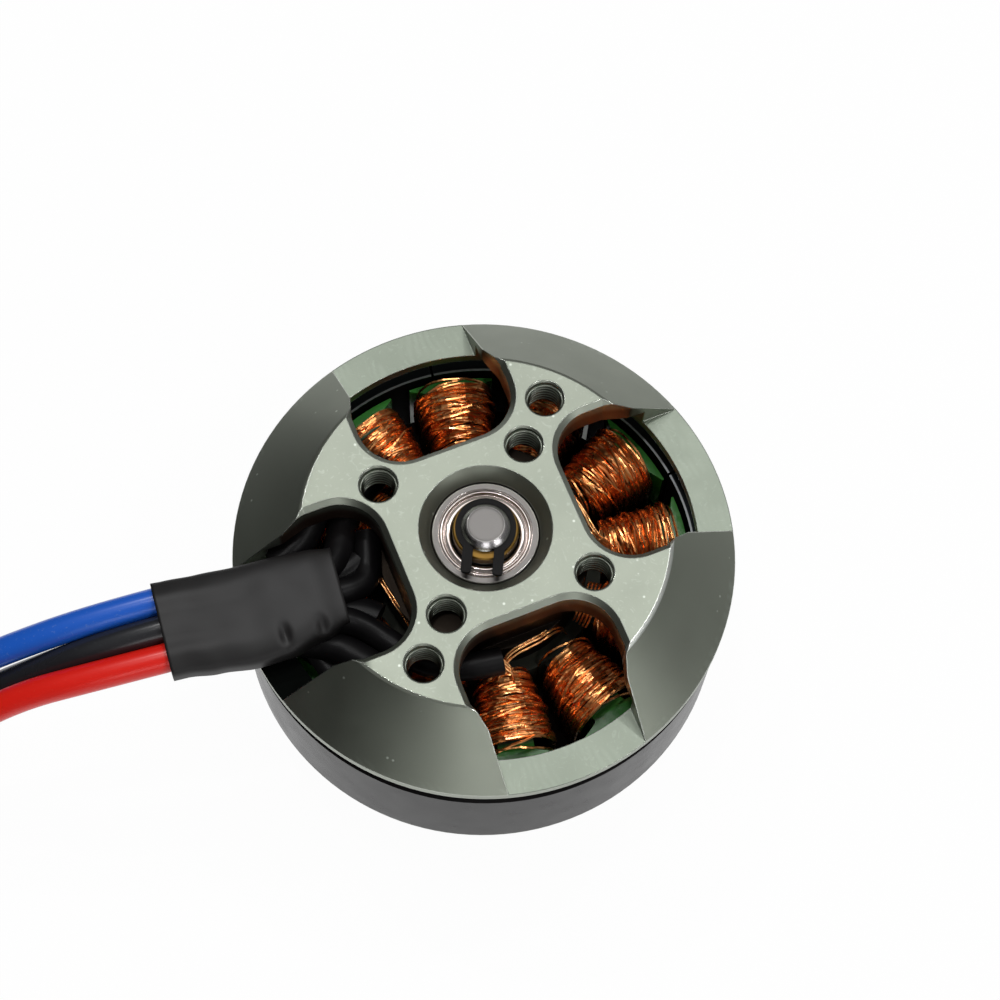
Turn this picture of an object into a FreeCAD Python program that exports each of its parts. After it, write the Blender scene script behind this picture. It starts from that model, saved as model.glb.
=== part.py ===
"""Brushless outrunner motor with a 35 x 8 mm stator, lying base up on its propeller seat.

Frame: millimetres, +Z along the shaft and out of the mounting face, z = 0 at the propeller seat.
The four windows of the base lie on the diagonals, and the leads leave through the one at 225 degrees.
"""
import FreeCAD
import Part
import Sketcher
import math
import os

V = FreeCAD.Vector

# ---------------------------------------------------------------------------------------------
# Driving dimensions: alias and value. Lengths in millimetres, angles in degrees.
# ---------------------------------------------------------------------------------------------
DIMENSIONS = [
    # overall
    ("mount_height", 26.2),
    ("edge_break", 0.12),
    # mounting base
    ("base_diameter", 41.7),
    ("face_diameter", 30.2),
    ("cone_drop", 5.36),
    ("rim_height", 1.0),
    ("plate_thickness", 3.4),
    ("cone_wall", 0.85),
    ("window_count", 4),
    ("window_angle", 45),
    ("window_inner_chord", 7.85),
    ("window_width", 13.2),
    ("window_mouth_width", 11.9),
    ("window_corner_radius", 3.65),
    ("window_chamfer", 0.45),
    ("side_taper_start", 13.2),
    ("side_taper_end", 15.4),
    ("recess_mouth_diameter", 10.9),
    ("recess_depth", 1.2),
    ("mount_screw_diameter", 3.0),
    ("mount_hole_mouth", 3.3),
    ("short_arm_radius", 9.5),
    ("long_arm_inner_radius", 8.0),
    ("long_arm_outer_radius", 12.5),
    ("stator_shoulder_diameter", 17.4),
    ("tube_diameter", 15.0),
    ("tube_waist_bore", 8.0),
    ("front_bearing_recess", 0.2),
    # ball bearings, 4 x 9 x 4
    ("shaft_diameter", 4.0),
    ("bearing_diameter", 9.0),
    ("bearing_width", 4.0),
    ("inner_ring_diameter", 5.3),
    ("outer_ring_bore", 7.7),
    ("shield_bore", 5.6),
    ("shield_rim_diameter", 6.6),
    ("shield_thickness", 0.2),
    ("shield_recess", 0.1),
    ("ball_diameter", 1.5),
    ("ball_clearance", 0.04),
    ("ball_count", 7),
    ("ball_pitch_diameter", 6.5),
    ("cage_wall", 0.4),
    ("cage_width", 2.2),
    ("ring_chamfer", 0.2),
    # stator
    ("stator_drop", 9.2),
    ("stator_lift", 1.8),
    ("yoke_width", 2.4),
    ("tooth_count", 12),
    ("tooth_angle", 2.7),
    ("tooth_width", 3.0),
    ("shoe_depth", 1.15),
    ("shoe_edge", 0.55),
    ("shoe_width", 7.3),
    ("slot_corner_radius", 0.3),
    ("coil_side", 0.8),
    ("coil_outer_side", 2.0),
    ("coil_overhang", 2.8),
    ("coil_end_radius", 2.1),
    ("coil_outer_end_radius", 2.7),
    ("coil_edge", 0.45),
    ("coil_gap", 0.3),
    # rotor
    ("air_gap", 0.3),
    ("magnet_thickness", 1.5),
    ("magnet_setback", 0.25),
    ("magnet_count", 14),
    ("magnet_joint_angle", 0.7),
    ("magnet_angle", 63.2),
    ("can_wall", 1.4),
    ("can_inset", 0.15),
    ("base_gap", 1.64),
    ("bell_height", 7.2),
    ("bell_band", 0.25),
    ("bell_lip_height", 0.75),
    ("bell_lip_wall", 0.7),
    ("bell_floor_drop", 1.7),
    ("bell_shoulder_drop", 2.3),
    ("bell_shoulder_inset", 1.1),
    ("bell_cone_height", 3.0),
    ("bell_floor_inset", 2.1),
    ("bell_hub_diameter", 19.0),
    ("opening_count", 6),
    ("opening_inner_chord", 9.6),
    ("opening_inner_width", 6.0),
    ("opening_outer_inset", 5.0),
    ("opening_outer_width", 12.8),
    ("opening_corner_radius", 1.8),
    ("bell_angle", 83),
    ("hub_collar_diameter", 13.0),
    ("hub_rise", 0.65),
    ("spacer_diameter", 5.2),
    ("spacer_thickness", 0.6),
    ("seat_diameter", 16.0),
    ("seat_chamfer", 0.3),
    ("prop_circle", 12.0),
    ("prop_screw_diameter", 3.0),
    ("prop_hole_depth", 5.0),
    ("prop_hole_count", 4),
    ("prop_hole_angle", 45),
    ("grub_diameter", 2.5),
    ("grub_length", 4.0),
    ("grub_height", 3.7),
    ("grub_socket", 1.3),
    ("grub_socket_depth", 1.4),
    ("slip", 0.02),
    # shaft end, retaining ring and shim
    ("shaft_stickout", 0.8),
    ("shaft_chamfer", 0.5),
    ("shaft_setback", 0.4),
    ("ring_thickness", 0.4),
    ("ring_level", 0.2),
    ("ring_groove_depth", 0.15),
    ("ring_diameter", 4.96),
    ("ring_opening", 1.7),
    ("ring_lug_width", 0.85),
    ("ring_lug_reach", 4.0),
    ("ring_angle", 288),
    ("shim_diameter", 5.4),
    # leads, their heat-shrink sleeve and connectors
    ("lead_diameter", 2.4),
    ("lead_pitch", 2.42),
    ("lead_offset", 0.25),
    ("sleeve_angle", 218.8),
    ("sleeve_offset", 0.55),
    ("sleeve_drop", 3.66),
    ("sleeve_start", 12.4),
    ("sleeve_length", 14.8),
    ("sleeve_inner_width", 6.0),
    ("sleeve_inner_height", 2.6),
    ("sleeve_neck_length", 3.7),
    ("sleeve_neck_width", 7.6),
    ("sleeve_joint_length", 8.1),
    ("sleeve_joint_width", 8.3),
    ("sleeve_joint_offset", 0.9),
    ("sleeve_joint_height", 3.25),
    ("sleeve_outer_width", 8.0),
    ("sleeve_outer_offset", 0.45),
    ("sleeve_outer_height", 3.1),
    ("sleeve_corner_share", 0.45),
    ("sleeve_socket_depth", 2.0),
    ("phase_sleeve_diameter", 1.6),
    ("phase_sleeve_pitch", 1.85),
    ("phase_sleeve_socket", 1.5),
    ("phase_sleeve_straight", 2.6),
    ("phase_sleeve_reach", 4.15),
    ("phase_sleeve_drop", 4.85),
    ("tail_diameter", 1.1),
    ("tail_straight", 0.8),
    ("star_sleeve_diameter", 2.2),
    ("star_sleeve_drop", 5.0),
    ("crossover_diameter", 0.6),
    ("crossover_drop", 6.7),
    ("crossover_span", 56),
    ("crossover_count", 4),
    ("crossover_angle", 310),
    ("connector_cup_diameter", 3.9),
    ("connector_cup_length", 6.0),
    ("connector_collar_diameter", 4.3),
    ("connector_collar_length", 1.0),
    ("connector_neck_diameter", 2.8),
    ("connector_spring_diameter", 3.6),
    ("connector_pin_length", 8.0),
    ("connector_nose_length", 0.9),
    ("connector_slit", 0.35),
    ("connector_slit_count", 4),
    ("connector_sleeve_wall", 0.35),
    ("connector_sleeve_grip", 3.0),
]

SHEET = "Dimensions"


class Length:
    """A value of the sheet, or a sum or share of such values, with the expression that drives it."""

    def __init__(self, number, expression):
        self.number = float(number)
        self.expression = expression

    def __add__(self, other):
        other = as_length(other)
        return Length(self.number + other.number, f"({self.expression} + {other.expression})")

    def __sub__(self, other):
        other = as_length(other)
        return Length(self.number - other.number, f"({self.expression} - {other.expression})")

    def __mul__(self, other):
        other = as_length(other)
        return Length(self.number * other.number, f"({self.expression} * {other.expression})")

    def __truediv__(self, other):
        other = as_length(other)
        return Length(self.number / other.number, f"({self.expression} / {other.expression})")

    def __neg__(self):
        return Length(-self.number, f"(0 - {self.expression})")


def as_length(value):
    """Return a Length unchanged, and wrap a plain number as one."""
    if isinstance(value, Length):
        return value
    return Length(value, repr(float(value)))


class Dimensions:
    """The spreadsheet of driving dimensions, each read as an attribute that gives a Length."""

    def __init__(self, doc):
        self.sheet = doc.addObject("Spreadsheet::Sheet", SHEET)
        for row, (alias, value) in enumerate(DIMENSIONS, start=1):
            self.sheet.set(f"A{row}", alias)
            self.sheet.set(f"B{row}", str(value))
            self.sheet.setAlias(f"B{row}", alias)
        doc.recompute()

    def __getattr__(self, alias):
        return Length(self.sheet.get(alias), f"{SHEET}.{alias}")


doc = FreeCAD.newDocument("outrunner_motor")
dim = Dimensions(doc)
ZERO = as_length(0)


# ---------------------------------------------------------------------------------------------
# Helpers
# ---------------------------------------------------------------------------------------------
def bind(target, prop, value):
    """Drive one property by a Length, or set it when the value is a plain number."""
    if isinstance(value, Length):
        target.setExpression(prop, value.expression)
    else:
        setattr(target, prop, value)


def new_body(label):
    """Make the PartDesign body of one sub-part."""
    body = doc.addObject("PartDesign::Body", label)
    body.Label = label
    return body


def origin_feature(body, role):
    """Find one of a body's own origin planes or axes by its role."""
    return next(item for item in body.Origin.OriginFeatures if item.Role == role)


def sketch_on(body, name, plane="XZ_Plane", offset=None, turn=None):
    """Add a sketch on a body's origin plane, shifted along its normal and turned about it."""
    sketch = body.newObject("Sketcher::SketchObject", f"{body.Label}_{name}")
    sketch.AttachmentSupport = [(origin_feature(body, plane), "")]
    sketch.MapMode = "FlatFace"
    if offset is not None:
        sketch.setExpression(".AttachmentOffset.Base.z", as_length(offset).expression)
    if turn is not None:
        sketch.setExpression(".AttachmentOffset.Rotation.Angle", as_length(turn).expression)
    return sketch


def constrain_point(sketch, geometry, position, x, y):
    """Hold one point of a sketch at (x, y), driven by the sheet."""
    for kind, axis, value in (("DistanceX", -2, x), ("DistanceY", -1, y)):
        value = as_length(value)
        if value.number == 0 and SHEET not in value.expression:
            sketch.addConstraint(Sketcher.Constraint("PointOnObject", geometry, position, axis))
            continue
        index = sketch.addConstraint(Sketcher.Constraint(kind, geometry, position, value.number))
        if SHEET in value.expression:
            sketch.setExpression(f"Constraints[{index}]", value.expression)


def corner_tangents(before, corner, after, radius):
    """Return the tangent points, centre and turning sense of an arc of this radius at a corner."""
    into = (corner - before).normalize()
    out = (after - corner).normalize()
    half_turn = into.getAngle(out) / 2
    reach = radius * math.tan(half_turn)
    first = corner - into * reach
    last = corner + out * reach
    left = into.x * out.y - into.y * out.x > 0
    normal = V(-into.y, into.x, 0) if left else V(into.y, -into.x, 0)
    return first, last, first + normal * radius, left


def outline(sketch, corners):
    """Draw a closed outline through corners given as (x, y) or (x, y, corner radius)."""
    spots = [V(as_length(c[0]).number, as_length(c[1]).number, 0) for c in corners]
    radii = [as_length(c[2]) if len(c) > 2 else None for c in corners]
    count = len(corners)
    arcs = {}
    for i, radius in enumerate(radii):
        if radius is not None:
            arcs[i] = corner_tangents(spots[i - 1], spots[i], spots[(i + 1) % count], radius.number)
    lines = []
    for i in range(count):
        following = (i + 1) % count
        start = arcs[i][1] if i in arcs else spots[i]
        end = arcs[following][0] if following in arcs else spots[following]
        lines.append(sketch.addGeometry(Part.LineSegment(start, end), False))
    for i, corner in enumerate(corners):
        before = lines[i - 1]
        after = lines[i]
        if i not in arcs:
            sketch.addConstraint(Sketcher.Constraint("Coincident", before, 2, after, 1))
            constrain_point(sketch, after, 1, corner[0], corner[1])
            continue
        first, last, centre, left = arcs[i]
        start, end = (first, last) if left else (last, first)
        angles = [math.atan2(p.y - centre.y, p.x - centre.x) for p in (start, end)]
        circle = Part.Circle(centre, V(0, 0, 1), radii[i].number)
        arc = sketch.addGeometry(Part.ArcOfCircle(circle, angles[0], angles[1]), False)
        point = sketch.addGeometry(Part.Point(spots[i]), True)
        constrain_point(sketch, point, 1, corner[0], corner[1])
        sketch.addConstraint(Sketcher.Constraint("PointOnObject", point, 1, before))
        sketch.addConstraint(Sketcher.Constraint("PointOnObject", point, 1, after))
        sketch.addConstraint(Sketcher.Constraint("Tangent", before, 2, arc, 1 if left else 2))
        sketch.addConstraint(Sketcher.Constraint("Tangent", after, 1, arc, 2 if left else 1))
        index = sketch.addConstraint(Sketcher.Constraint("Radius", arc, radii[i].number))
        sketch.setExpression(f"Constraints[{index}]", radii[i].expression)


def circle(sketch, diameter, x=0, y=0):
    """Draw a circle of a driven diameter about a driven centre."""
    diameter = as_length(diameter)
    centre = V(as_length(x).number, as_length(y).number, 0)
    index = sketch.addGeometry(Part.Circle(centre, V(0, 0, 1), diameter.number / 2), False)
    constrain_point(sketch, index, 3, x, y)
    size = sketch.addConstraint(Sketcher.Constraint("Diameter", index, diameter.number))
    sketch.setExpression(f"Constraints[{size}]", diameter.expression)


def add_feature(body, kind, name, sketch, **values):
    """Add a sketch-based PartDesign feature and make it the body's tip."""
    feature = body.newObject(f"PartDesign::{kind}", f"{body.Label}_{name}")
    feature.Profile = sketch
    for prop, value in values.items():
        bind(feature, prop, value)
    body.Tip = feature
    return feature


def revolve(body, name, corners, kind="Revolution", angle=None):
    """Turn an outline of the XZ half plane about the Z axis."""
    sketch = sketch_on(body, f"{name}_profile")
    outline(sketch, corners)
    feature = add_feature(body, kind, name, sketch)
    feature.ReferenceAxis = (sketch, ["V_Axis"])
    bind(feature, "Angle", angle if angle is not None else 360.0)
    return feature


def pattern(body, name, originals, count, angle=360.0, whole_body=False):
    """Repeat features, or the whole body, about the Z axis."""
    if whole_body:
        doc.recompute()
    feature = body.newObject("PartDesign::PolarPattern", f"{body.Label}_{name}")
    if whole_body:
        feature.TransformMode = "Whole shape"
    else:
        feature.Originals = originals
    feature.Axis = (origin_feature(body, "Z_Axis"), [""])
    bind(feature, "Angle", angle)
    bind(feature, "Occurrences", count)
    body.Tip = feature
    return feature


def edges_where(shape, test):
    """Name the edges of a shape that pass a test."""
    return [f"Edge{i}" for i, edge in enumerate(shape.Edges, start=1) if test(edge)]


def dress(body, kind, name, test, size):
    """Fillet or chamfer the edges of the body's tip that pass a test."""
    doc.recompute()
    base = body.Tip
    feature = body.newObject(f"PartDesign::{kind}", f"{body.Label}_{name}")
    feature.Base = (base, edges_where(base.Shape, test))
    bind(feature, "Radius" if kind == "Fillet" else "Size", size)
    body.Tip = feature
    return feature


def place(body, height=None, angle=None):
    """Lift a body to a driven height and turn it about the Z axis by a driven angle."""
    if height is not None:
        body.setExpression(".Placement.Base.z", as_length(height).expression)
    if angle is not None:
        body.setExpression(".Placement.Rotation.Angle", as_length(angle).expression)


# ---------------------------------------------------------------------------------------------
# Levels and radii shared by several sub-parts
# ---------------------------------------------------------------------------------------------
land_level = dim.mount_height - dim.cone_drop
rim_bottom = land_level - dim.rim_height
plate_bottom = dim.mount_height - dim.plate_thickness
can_top = rim_bottom - dim.base_gap
can_bottom = dim.bell_height
stator_top = dim.mount_height - dim.stator_drop
stator_bottom = can_bottom + dim.stator_lift
stator_length = stator_top - stator_bottom
yoke_radius = dim.tube_diameter / 2 + dim.yoke_width
coil_start = yoke_radius + dim.coil_gap
can_radius = dim.base_diameter / 2 - dim.can_inset
can_bore_radius = can_radius - dim.can_wall
magnet_bore_radius = can_bore_radius - dim.magnet_thickness
stator_radius = magnet_bore_radius - dim.air_gap
coil_end = stator_radius - dim.shoe_depth - dim.slot_corner_radius
bell_floor = can_bottom - dim.bell_floor_drop
rear_bearing_face = dim.mount_height - dim.recess_depth
rear_bearing_seat = rear_bearing_face - dim.bearing_width
hub_top = bell_floor + dim.hub_rise
front_bearing_face = hub_top + dim.spacer_thickness
front_bearing_seat = front_bearing_face + dim.bearing_width
tube_foot = front_bearing_face - dim.front_bearing_recess
bearing_radius = dim.bearing_diameter / 2
shaft_radius = dim.shaft_diameter / 2
shim_top = dim.mount_height - dim.ring_level
ring_top = shim_top + dim.ring_thickness
shaft_end = dim.mount_height + dim.shaft_stickout


# ---------------------------------------------------------------------------------------------
# Mounting base
# ---------------------------------------------------------------------------------------------
def mounting_base():
    """Turned base: flat face, cone, rim and bearing tube, with four milled windows and six M3 holes."""
    body = new_body("mounting_base")
    face = dim.mount_height
    face_radius = dim.face_diameter / 2
    rim_radius = dim.base_diameter / 2
    edge = dim.edge_break
    cone_fall = edge * dim.cone_drop / (rim_radius - face_radius)
    cone_share = dim.plate_thickness / dim.cone_drop
    ring_radius = face_radius + (rim_radius - face_radius) * cone_share - dim.cone_wall
    shoulder = dim.stator_shoulder_diameter / 2
    tube_radius = dim.tube_diameter / 2
    waist = dim.tube_waist_bore / 2
    revolve(body, "turning", [
        (dim.recess_mouth_diameter / 2, face),
        (bearing_radius, rear_bearing_face),
        (bearing_radius, rear_bearing_seat),
        (waist, rear_bearing_seat),
        (waist, front_bearing_seat),
        (bearing_radius, front_bearing_seat),
        (bearing_radius, tube_foot),
        (tube_radius, tube_foot),
        (tube_radius, stator_top),
        (shoulder, stator_top),
        (shoulder, plate_bottom),
        (ring_radius, plate_bottom),
        (ring_radius, rim_bottom),
        (rim_radius - edge, rim_bottom),
        (rim_radius, rim_bottom + edge),
        (rim_radius, land_level),
        (face_radius + edge, face - cone_fall),
        (face_radius - edge, face),
    ])
    window = sketch_on(body, "window_outline", "XY_Plane", face, dim.window_angle)
    outline(window, window_corners(ZERO))
    cut = add_feature(body, "Pocket", "window", window, Length=dim.cone_drop)
    rim = sketch_on(body, "window_chamfer_outline", "XY_Plane", face, dim.window_angle)
    outline(rim, window_corners(dim.window_chamfer))
    bevel = add_feature(body, "Pocket", "window_chamfer", rim, Length=dim.window_chamfer)
    bevel.TaperAngle = -45
    pattern(body, "windows", [cut, bevel], dim.window_count)
    for arm, spots in (("short", ((dim.short_arm_radius, ZERO),)),
                       ("long", ((ZERO, dim.long_arm_inner_radius), (ZERO, dim.long_arm_outer_radius)))):
        holes = sketch_on(body, f"{arm}_arm_holes", "XY_Plane", face)
        mouths = sketch_on(body, f"{arm}_arm_mouths", "XY_Plane", face)
        for x, y in spots:
            circle(holes, dim.mount_screw_diameter, x, y)
            circle(mouths, dim.mount_hole_mouth, x, y)
        bore = add_feature(body, "Pocket", f"{arm}_arm_bores", holes, Length=dim.plate_thickness)
        mouth = add_feature(body, "Pocket", f"{arm}_arm_countersinks", mouths,
                            Length=(dim.mount_hole_mouth - dim.mount_screw_diameter) / 2)
        mouth.TaperAngle = -45
        pattern(body, f"{arm}_arm_pair", [bore, mouth], 2)
    return body


def window_corners(margin):
    """Outline of one window with its axis along X, grown by a margin; it runs out past the rim."""
    half = dim.window_width / 2 + margin
    mouth = dim.window_mouth_width / 2
    outside = dim.base_diameter / 2 + 1
    chord = dim.window_inner_chord - margin
    corner = dim.window_corner_radius + margin
    return [
        (chord, -half, corner),
        (dim.side_taper_start, -half),
        (dim.side_taper_end, -mouth),
        (outside, -mouth),
        (outside, mouth),
        (dim.side_taper_end, mouth),
        (dim.side_taper_start, half),
        (chord, half, corner),
    ]


# ---------------------------------------------------------------------------------------------
# Ball bearings
# ---------------------------------------------------------------------------------------------
def bearing(position, top):
    """Shielded ball bearing: rings with raceway grooves, balls in a cage, and two pressed shields."""
    width = dim.bearing_width
    middle = width / 2
    chamfer = dim.ring_chamfer
    bore = dim.outer_ring_bore / 2
    inner = dim.inner_ring_diameter / 2
    pitch = dim.ball_pitch_diameter / 2
    groove = dim.ball_diameter / 2 + dim.ball_clearance

    outer_ring = new_body(f"{position}_bearing_outer_ring")
    revolve(outer_ring, "ring", [
        (bore, ZERO),
        (bearing_radius - chamfer, ZERO),
        (bearing_radius, chamfer),
        (bearing_radius, width - chamfer),
        (bearing_radius - chamfer, width),
        (bore, width),
    ])
    raceway(outer_ring, pitch, middle, groove)

    inner_ring = new_body(f"{position}_bearing_inner_ring")
    revolve(inner_ring, "ring", [
        (shaft_radius, ZERO),
        (inner - chamfer / 2, ZERO),
        (inner, chamfer / 2),
        (inner, width - chamfer / 2),
        (inner - chamfer / 2, width),
        (shaft_radius, width),
    ])
    raceway(inner_ring, pitch, middle, groove)

    balls = new_body(f"{position}_bearing_balls")
    ball = balls.newObject("PartDesign::AdditiveSphere", f"{position}_ball")
    ball.AttachmentSupport = [(origin_feature(balls, "XY_Plane"), "")]
    ball.MapMode = "FlatFace"
    ball.setExpression(".AttachmentOffset.Base.x", pitch.expression)
    ball.setExpression(".AttachmentOffset.Base.z", middle.expression)
    bind(ball, "Radius", dim.ball_diameter / 2)
    balls.Tip = ball
    pattern(balls, "set", [ball], dim.ball_count)

    cage = new_body(f"{position}_bearing_cage")
    wall = dim.cage_wall / 2
    half_width = dim.cage_width / 2
    revolve(cage, "band", [
        (pitch - wall, middle - half_width),
        (pitch + wall, middle - half_width),
        (pitch + wall, middle + half_width),
        (pitch - wall, middle + half_width),
    ])
    window = sketch_on(cage, "pocket_outline", "YZ_Plane")
    circle(window, groove * 2, ZERO, middle)
    pocket = add_feature(cage, "Pocket", "pocket", window, Length=bearing_radius)
    pocket.Reversed = True
    pattern(cage, "pockets", [pocket], dim.ball_count)

    shields = new_body(f"{position}_bearing_shields")
    lip = dim.shield_bore / 2
    step = dim.shield_rim_diameter / 2
    sheet = dim.shield_thickness
    outside = width - dim.shield_recess
    for side, face, into in (("upper", outside, -sheet), ("lower", width - outside, sheet)):
        revolve(shields, side, [
            (lip, face + into),
            (step, face + into),
            (step, face + into * 2),
            (bore, face + into * 2),
            (bore, face + into),
            (step + sheet, face + into),
            (step + sheet, face),
            (lip, face),
        ])

    pieces = [outer_ring, inner_ring, balls, cage, shields]
    for piece in pieces:
        place(piece, height=top - width)
    return pieces


def raceway(body, pitch, middle, radius):
    """Cut the round ball groove of a bearing ring."""
    sketch = sketch_on(body, "raceway_profile")
    circle(sketch, radius * 2, pitch, middle)
    feature = add_feature(body, "Groove", "raceway", sketch)
    feature.ReferenceAxis = (sketch, ["V_Axis"])
    feature.Angle = 360


# ---------------------------------------------------------------------------------------------
# Stator
# ---------------------------------------------------------------------------------------------
def stator_core():
    """Laminated core: yoke ring and twelve T-shaped teeth whose shoes follow the air gap."""
    body = new_body("stator_core")
    ring = sketch_on(body, "yoke_outline", "XY_Plane", stator_bottom)
    circle(ring, yoke_radius * 2)
    circle(ring, dim.tube_diameter)
    add_feature(body, "Pad", "yoke", ring, Length=stator_length)
    tooth = sketch_on(body, "tooth_outline", "XY_Plane", stator_bottom)
    half = dim.tooth_width / 2
    shoe = dim.shoe_width / 2
    root = stator_radius - dim.shoe_depth
    tip = stator_radius - dim.shoe_edge
    over = stator_radius + dim.shoe_edge
    foot = dim.tube_diameter / 2 + dim.yoke_width / 2
    outline(tooth, [
        (foot, -half),
        (root, -half, dim.slot_corner_radius),
        (tip, -shoe),
        (over, -shoe),
        (over, shoe),
        (tip, shoe),
        (root, half, dim.slot_corner_radius),
        (foot, half),
    ])
    pad = add_feature(body, "Pad", "tooth", tooth, Length=stator_length)
    pattern(body, "teeth", [pad], dim.tooth_count)
    margin = dim.shoe_edge
    revolve(body, "ground_rim", [
        (stator_radius, stator_bottom - margin),
        (stator_radius + margin * 4, stator_bottom - margin),
        (stator_radius + margin * 4, stator_top + margin),
        (stator_radius, stator_top + margin),
    ], kind="Groove")
    place(body, angle=dim.tooth_angle)
    return body


def coil_loop(body, name, distance, side, corner, inset):
    """Outline of a coil at one distance from the shaft, set in where the coil's end is rounded off."""
    low = stator_bottom - dim.coil_overhang + inset
    high = stator_top + dim.coil_overhang - inset
    sketch = sketch_on(body, name, "YZ_Plane", distance)
    outline(sketch, [
        (inset - side, low, corner - inset),
        (side - inset, low, corner - inset),
        (side - inset, high, corner - inset),
        (inset - side, high, corner - inset),
    ])
    return sketch


def winding(phase, first_slot):
    """Four coils of one phase, wider outwards as the slots are: two neighbouring teeth, and two opposite."""
    body = new_body(f"winding_phase_{phase}")
    half = dim.tooth_width / 2
    edge = dim.coil_edge
    inner = (half + dim.coil_side, dim.coil_end_radius)
    outer = (half + dim.coil_outer_side, dim.coil_outer_end_radius)
    loops = [
        coil_loop(body, "inner_end", coil_start, *inner, edge),
        coil_loop(body, "inner_outline", coil_start + edge, *inner, ZERO),
        coil_loop(body, "outer_outline", coil_end - edge, *outer, ZERO),
        coil_loop(body, "outer_end", coil_end, *outer, edge),
    ]
    loft = add_feature(body, "AdditiveLoft", "coil", loops[0])
    loft.Sections = loops[1:]
    loft.Ruled = True
    length = coil_end - coil_start
    core = sketch_on(body, "tooth_slot", "YZ_Plane", coil_start)
    outline(core, [
        (-half, stator_bottom),
        (half, stator_bottom),
        (half, stator_top),
        (-half, stator_top),
    ])
    slot = add_feature(body, "Pocket", "slot", core, Length=length)
    slot.Reversed = True
    pitch = as_length(360) / dim.tooth_count
    pattern(body, "pair", [], 2, angle=pitch, whole_body=True)
    pattern(body, "opposite_pair", [], 2, whole_body=True)
    place(body, angle=dim.tooth_angle + pitch * first_slot)
    return body


# ---------------------------------------------------------------------------------------------
# Rotor
# ---------------------------------------------------------------------------------------------
def flux_ring():
    """Steel can that carries the magnets, with broken edges."""
    body = new_body("flux_ring")
    edge = dim.edge_break * 2
    revolve(body, "ring", [
        (can_bore_radius, can_bottom),
        (can_radius, can_bottom),
        (can_radius, can_top - edge),
        (can_radius - edge, can_top),
        (can_bore_radius + edge, can_top),
        (can_bore_radius, can_top - edge),
    ])
    return body


def magnets():
    """Ring of arc magnets that stand on the bell's lip inside the can."""
    body = new_body("magnets")
    foot = can_bottom + dim.bell_lip_height
    head = can_top - dim.magnet_setback
    pitch = as_length(360) / dim.magnet_count
    single = revolve(body, "magnet", [
        (magnet_bore_radius, foot),
        (can_bore_radius, foot),
        (can_bore_radius, head),
        (magnet_bore_radius, head),
    ], angle=pitch - dim.magnet_joint_angle)
    single.Midplane = True
    pattern(body, "set", [single], dim.magnet_count)
    place(body, angle=dim.magnet_angle)
    return body


def bell():
    """Spoked aluminium bell: register lip in the can, six openings, hub and propeller seat."""
    body = new_body("bell")
    lip_inner = can_bore_radius - dim.bell_lip_wall
    lip_top = can_bottom + dim.bell_lip_height
    shoulder_level = can_bottom - dim.bell_shoulder_drop
    cone_end = shoulder_level - dim.bell_cone_height
    collar = dim.hub_collar_diameter / 2
    seat = dim.seat_diameter / 2
    chamfer = dim.seat_chamfer
    revolve(body, "turning", [
        (shaft_radius, ZERO),
        (seat - chamfer, ZERO),
        (seat, chamfer),
        (seat, cone_end),
        (dim.bell_hub_diameter / 2, cone_end),
        (can_radius - dim.bell_shoulder_inset, shoulder_level),
        (can_radius, can_bottom - dim.bell_band),
        (can_radius, can_bottom),
        (can_bore_radius, can_bottom),
        (can_bore_radius, lip_top),
        (lip_inner, lip_top),
        (lip_inner, can_bottom),
        (can_bore_radius - dim.bell_floor_inset, bell_floor),
        (collar, bell_floor),
        (collar, hub_top),
        (shaft_radius, hub_top),
    ])
    opening = sketch_on(body, "opening_outline", "XY_Plane", bell_floor)
    inner = dim.opening_inner_width / 2
    outer = dim.opening_outer_width / 2
    chord = can_radius - dim.opening_outer_inset
    corner = dim.opening_corner_radius
    outline(opening, [
        (dim.opening_inner_chord, -inner, corner),
        (chord, -outer, corner),
        (chord, outer, corner),
        (dim.opening_inner_chord, inner, corner),
    ])
    cut = add_feature(body, "Pocket", "opening", opening, Length=bell_floor)
    pattern(body, "openings", [cut], dim.opening_count)
    holes = sketch_on(body, "prop_hole", "XY_Plane", ZERO, dim.prop_hole_angle)
    circle(holes, dim.prop_screw_diameter, dim.prop_circle / 2, ZERO)
    drill = add_feature(body, "Pocket", "prop_hole_bore", holes, Length=dim.prop_hole_depth)
    drill.Reversed = True
    pattern(body, "prop_holes", [drill], dim.prop_hole_count)
    grub = sketch_on(body, "grub_hole", "YZ_Plane")
    circle(grub, dim.grub_diameter, ZERO, dim.grub_height)
    cross = add_feature(body, "Pocket", "grub_holes", grub, Length=dim.opening_inner_chord * 2)
    cross.Midplane = True
    place(body, angle=dim.bell_angle)
    return body


def grub_screws():
    """Two socket set screws that clamp the hub on the shaft from opposite sides."""
    body = new_body("grub_screws")
    start = shaft_radius + dim.slip
    thread = sketch_on(body, "thread", "YZ_Plane", start)
    circle(thread, dim.grub_diameter - dim.slip * 2, ZERO, dim.grub_height)
    add_feature(body, "Pad", "screw", thread, Length=dim.grub_length)
    socket = sketch_on(body, "socket", "YZ_Plane", start + dim.grub_length)
    across = dim.grub_socket / 2
    point = across / math.cos(math.radians(30))
    outline(socket, [
        (point, dim.grub_height),
        (point / 2, dim.grub_height + across),
        (-(point / 2), dim.grub_height + across),
        (-point, dim.grub_height),
        (-(point / 2), dim.grub_height - across),
        (point / 2, dim.grub_height - across),
    ])
    add_feature(body, "Pocket", "hex", socket, Length=dim.grub_socket_depth)
    pattern(body, "pair", [], 2, whole_body=True)
    place(body, angle=dim.bell_angle)
    return body


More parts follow.
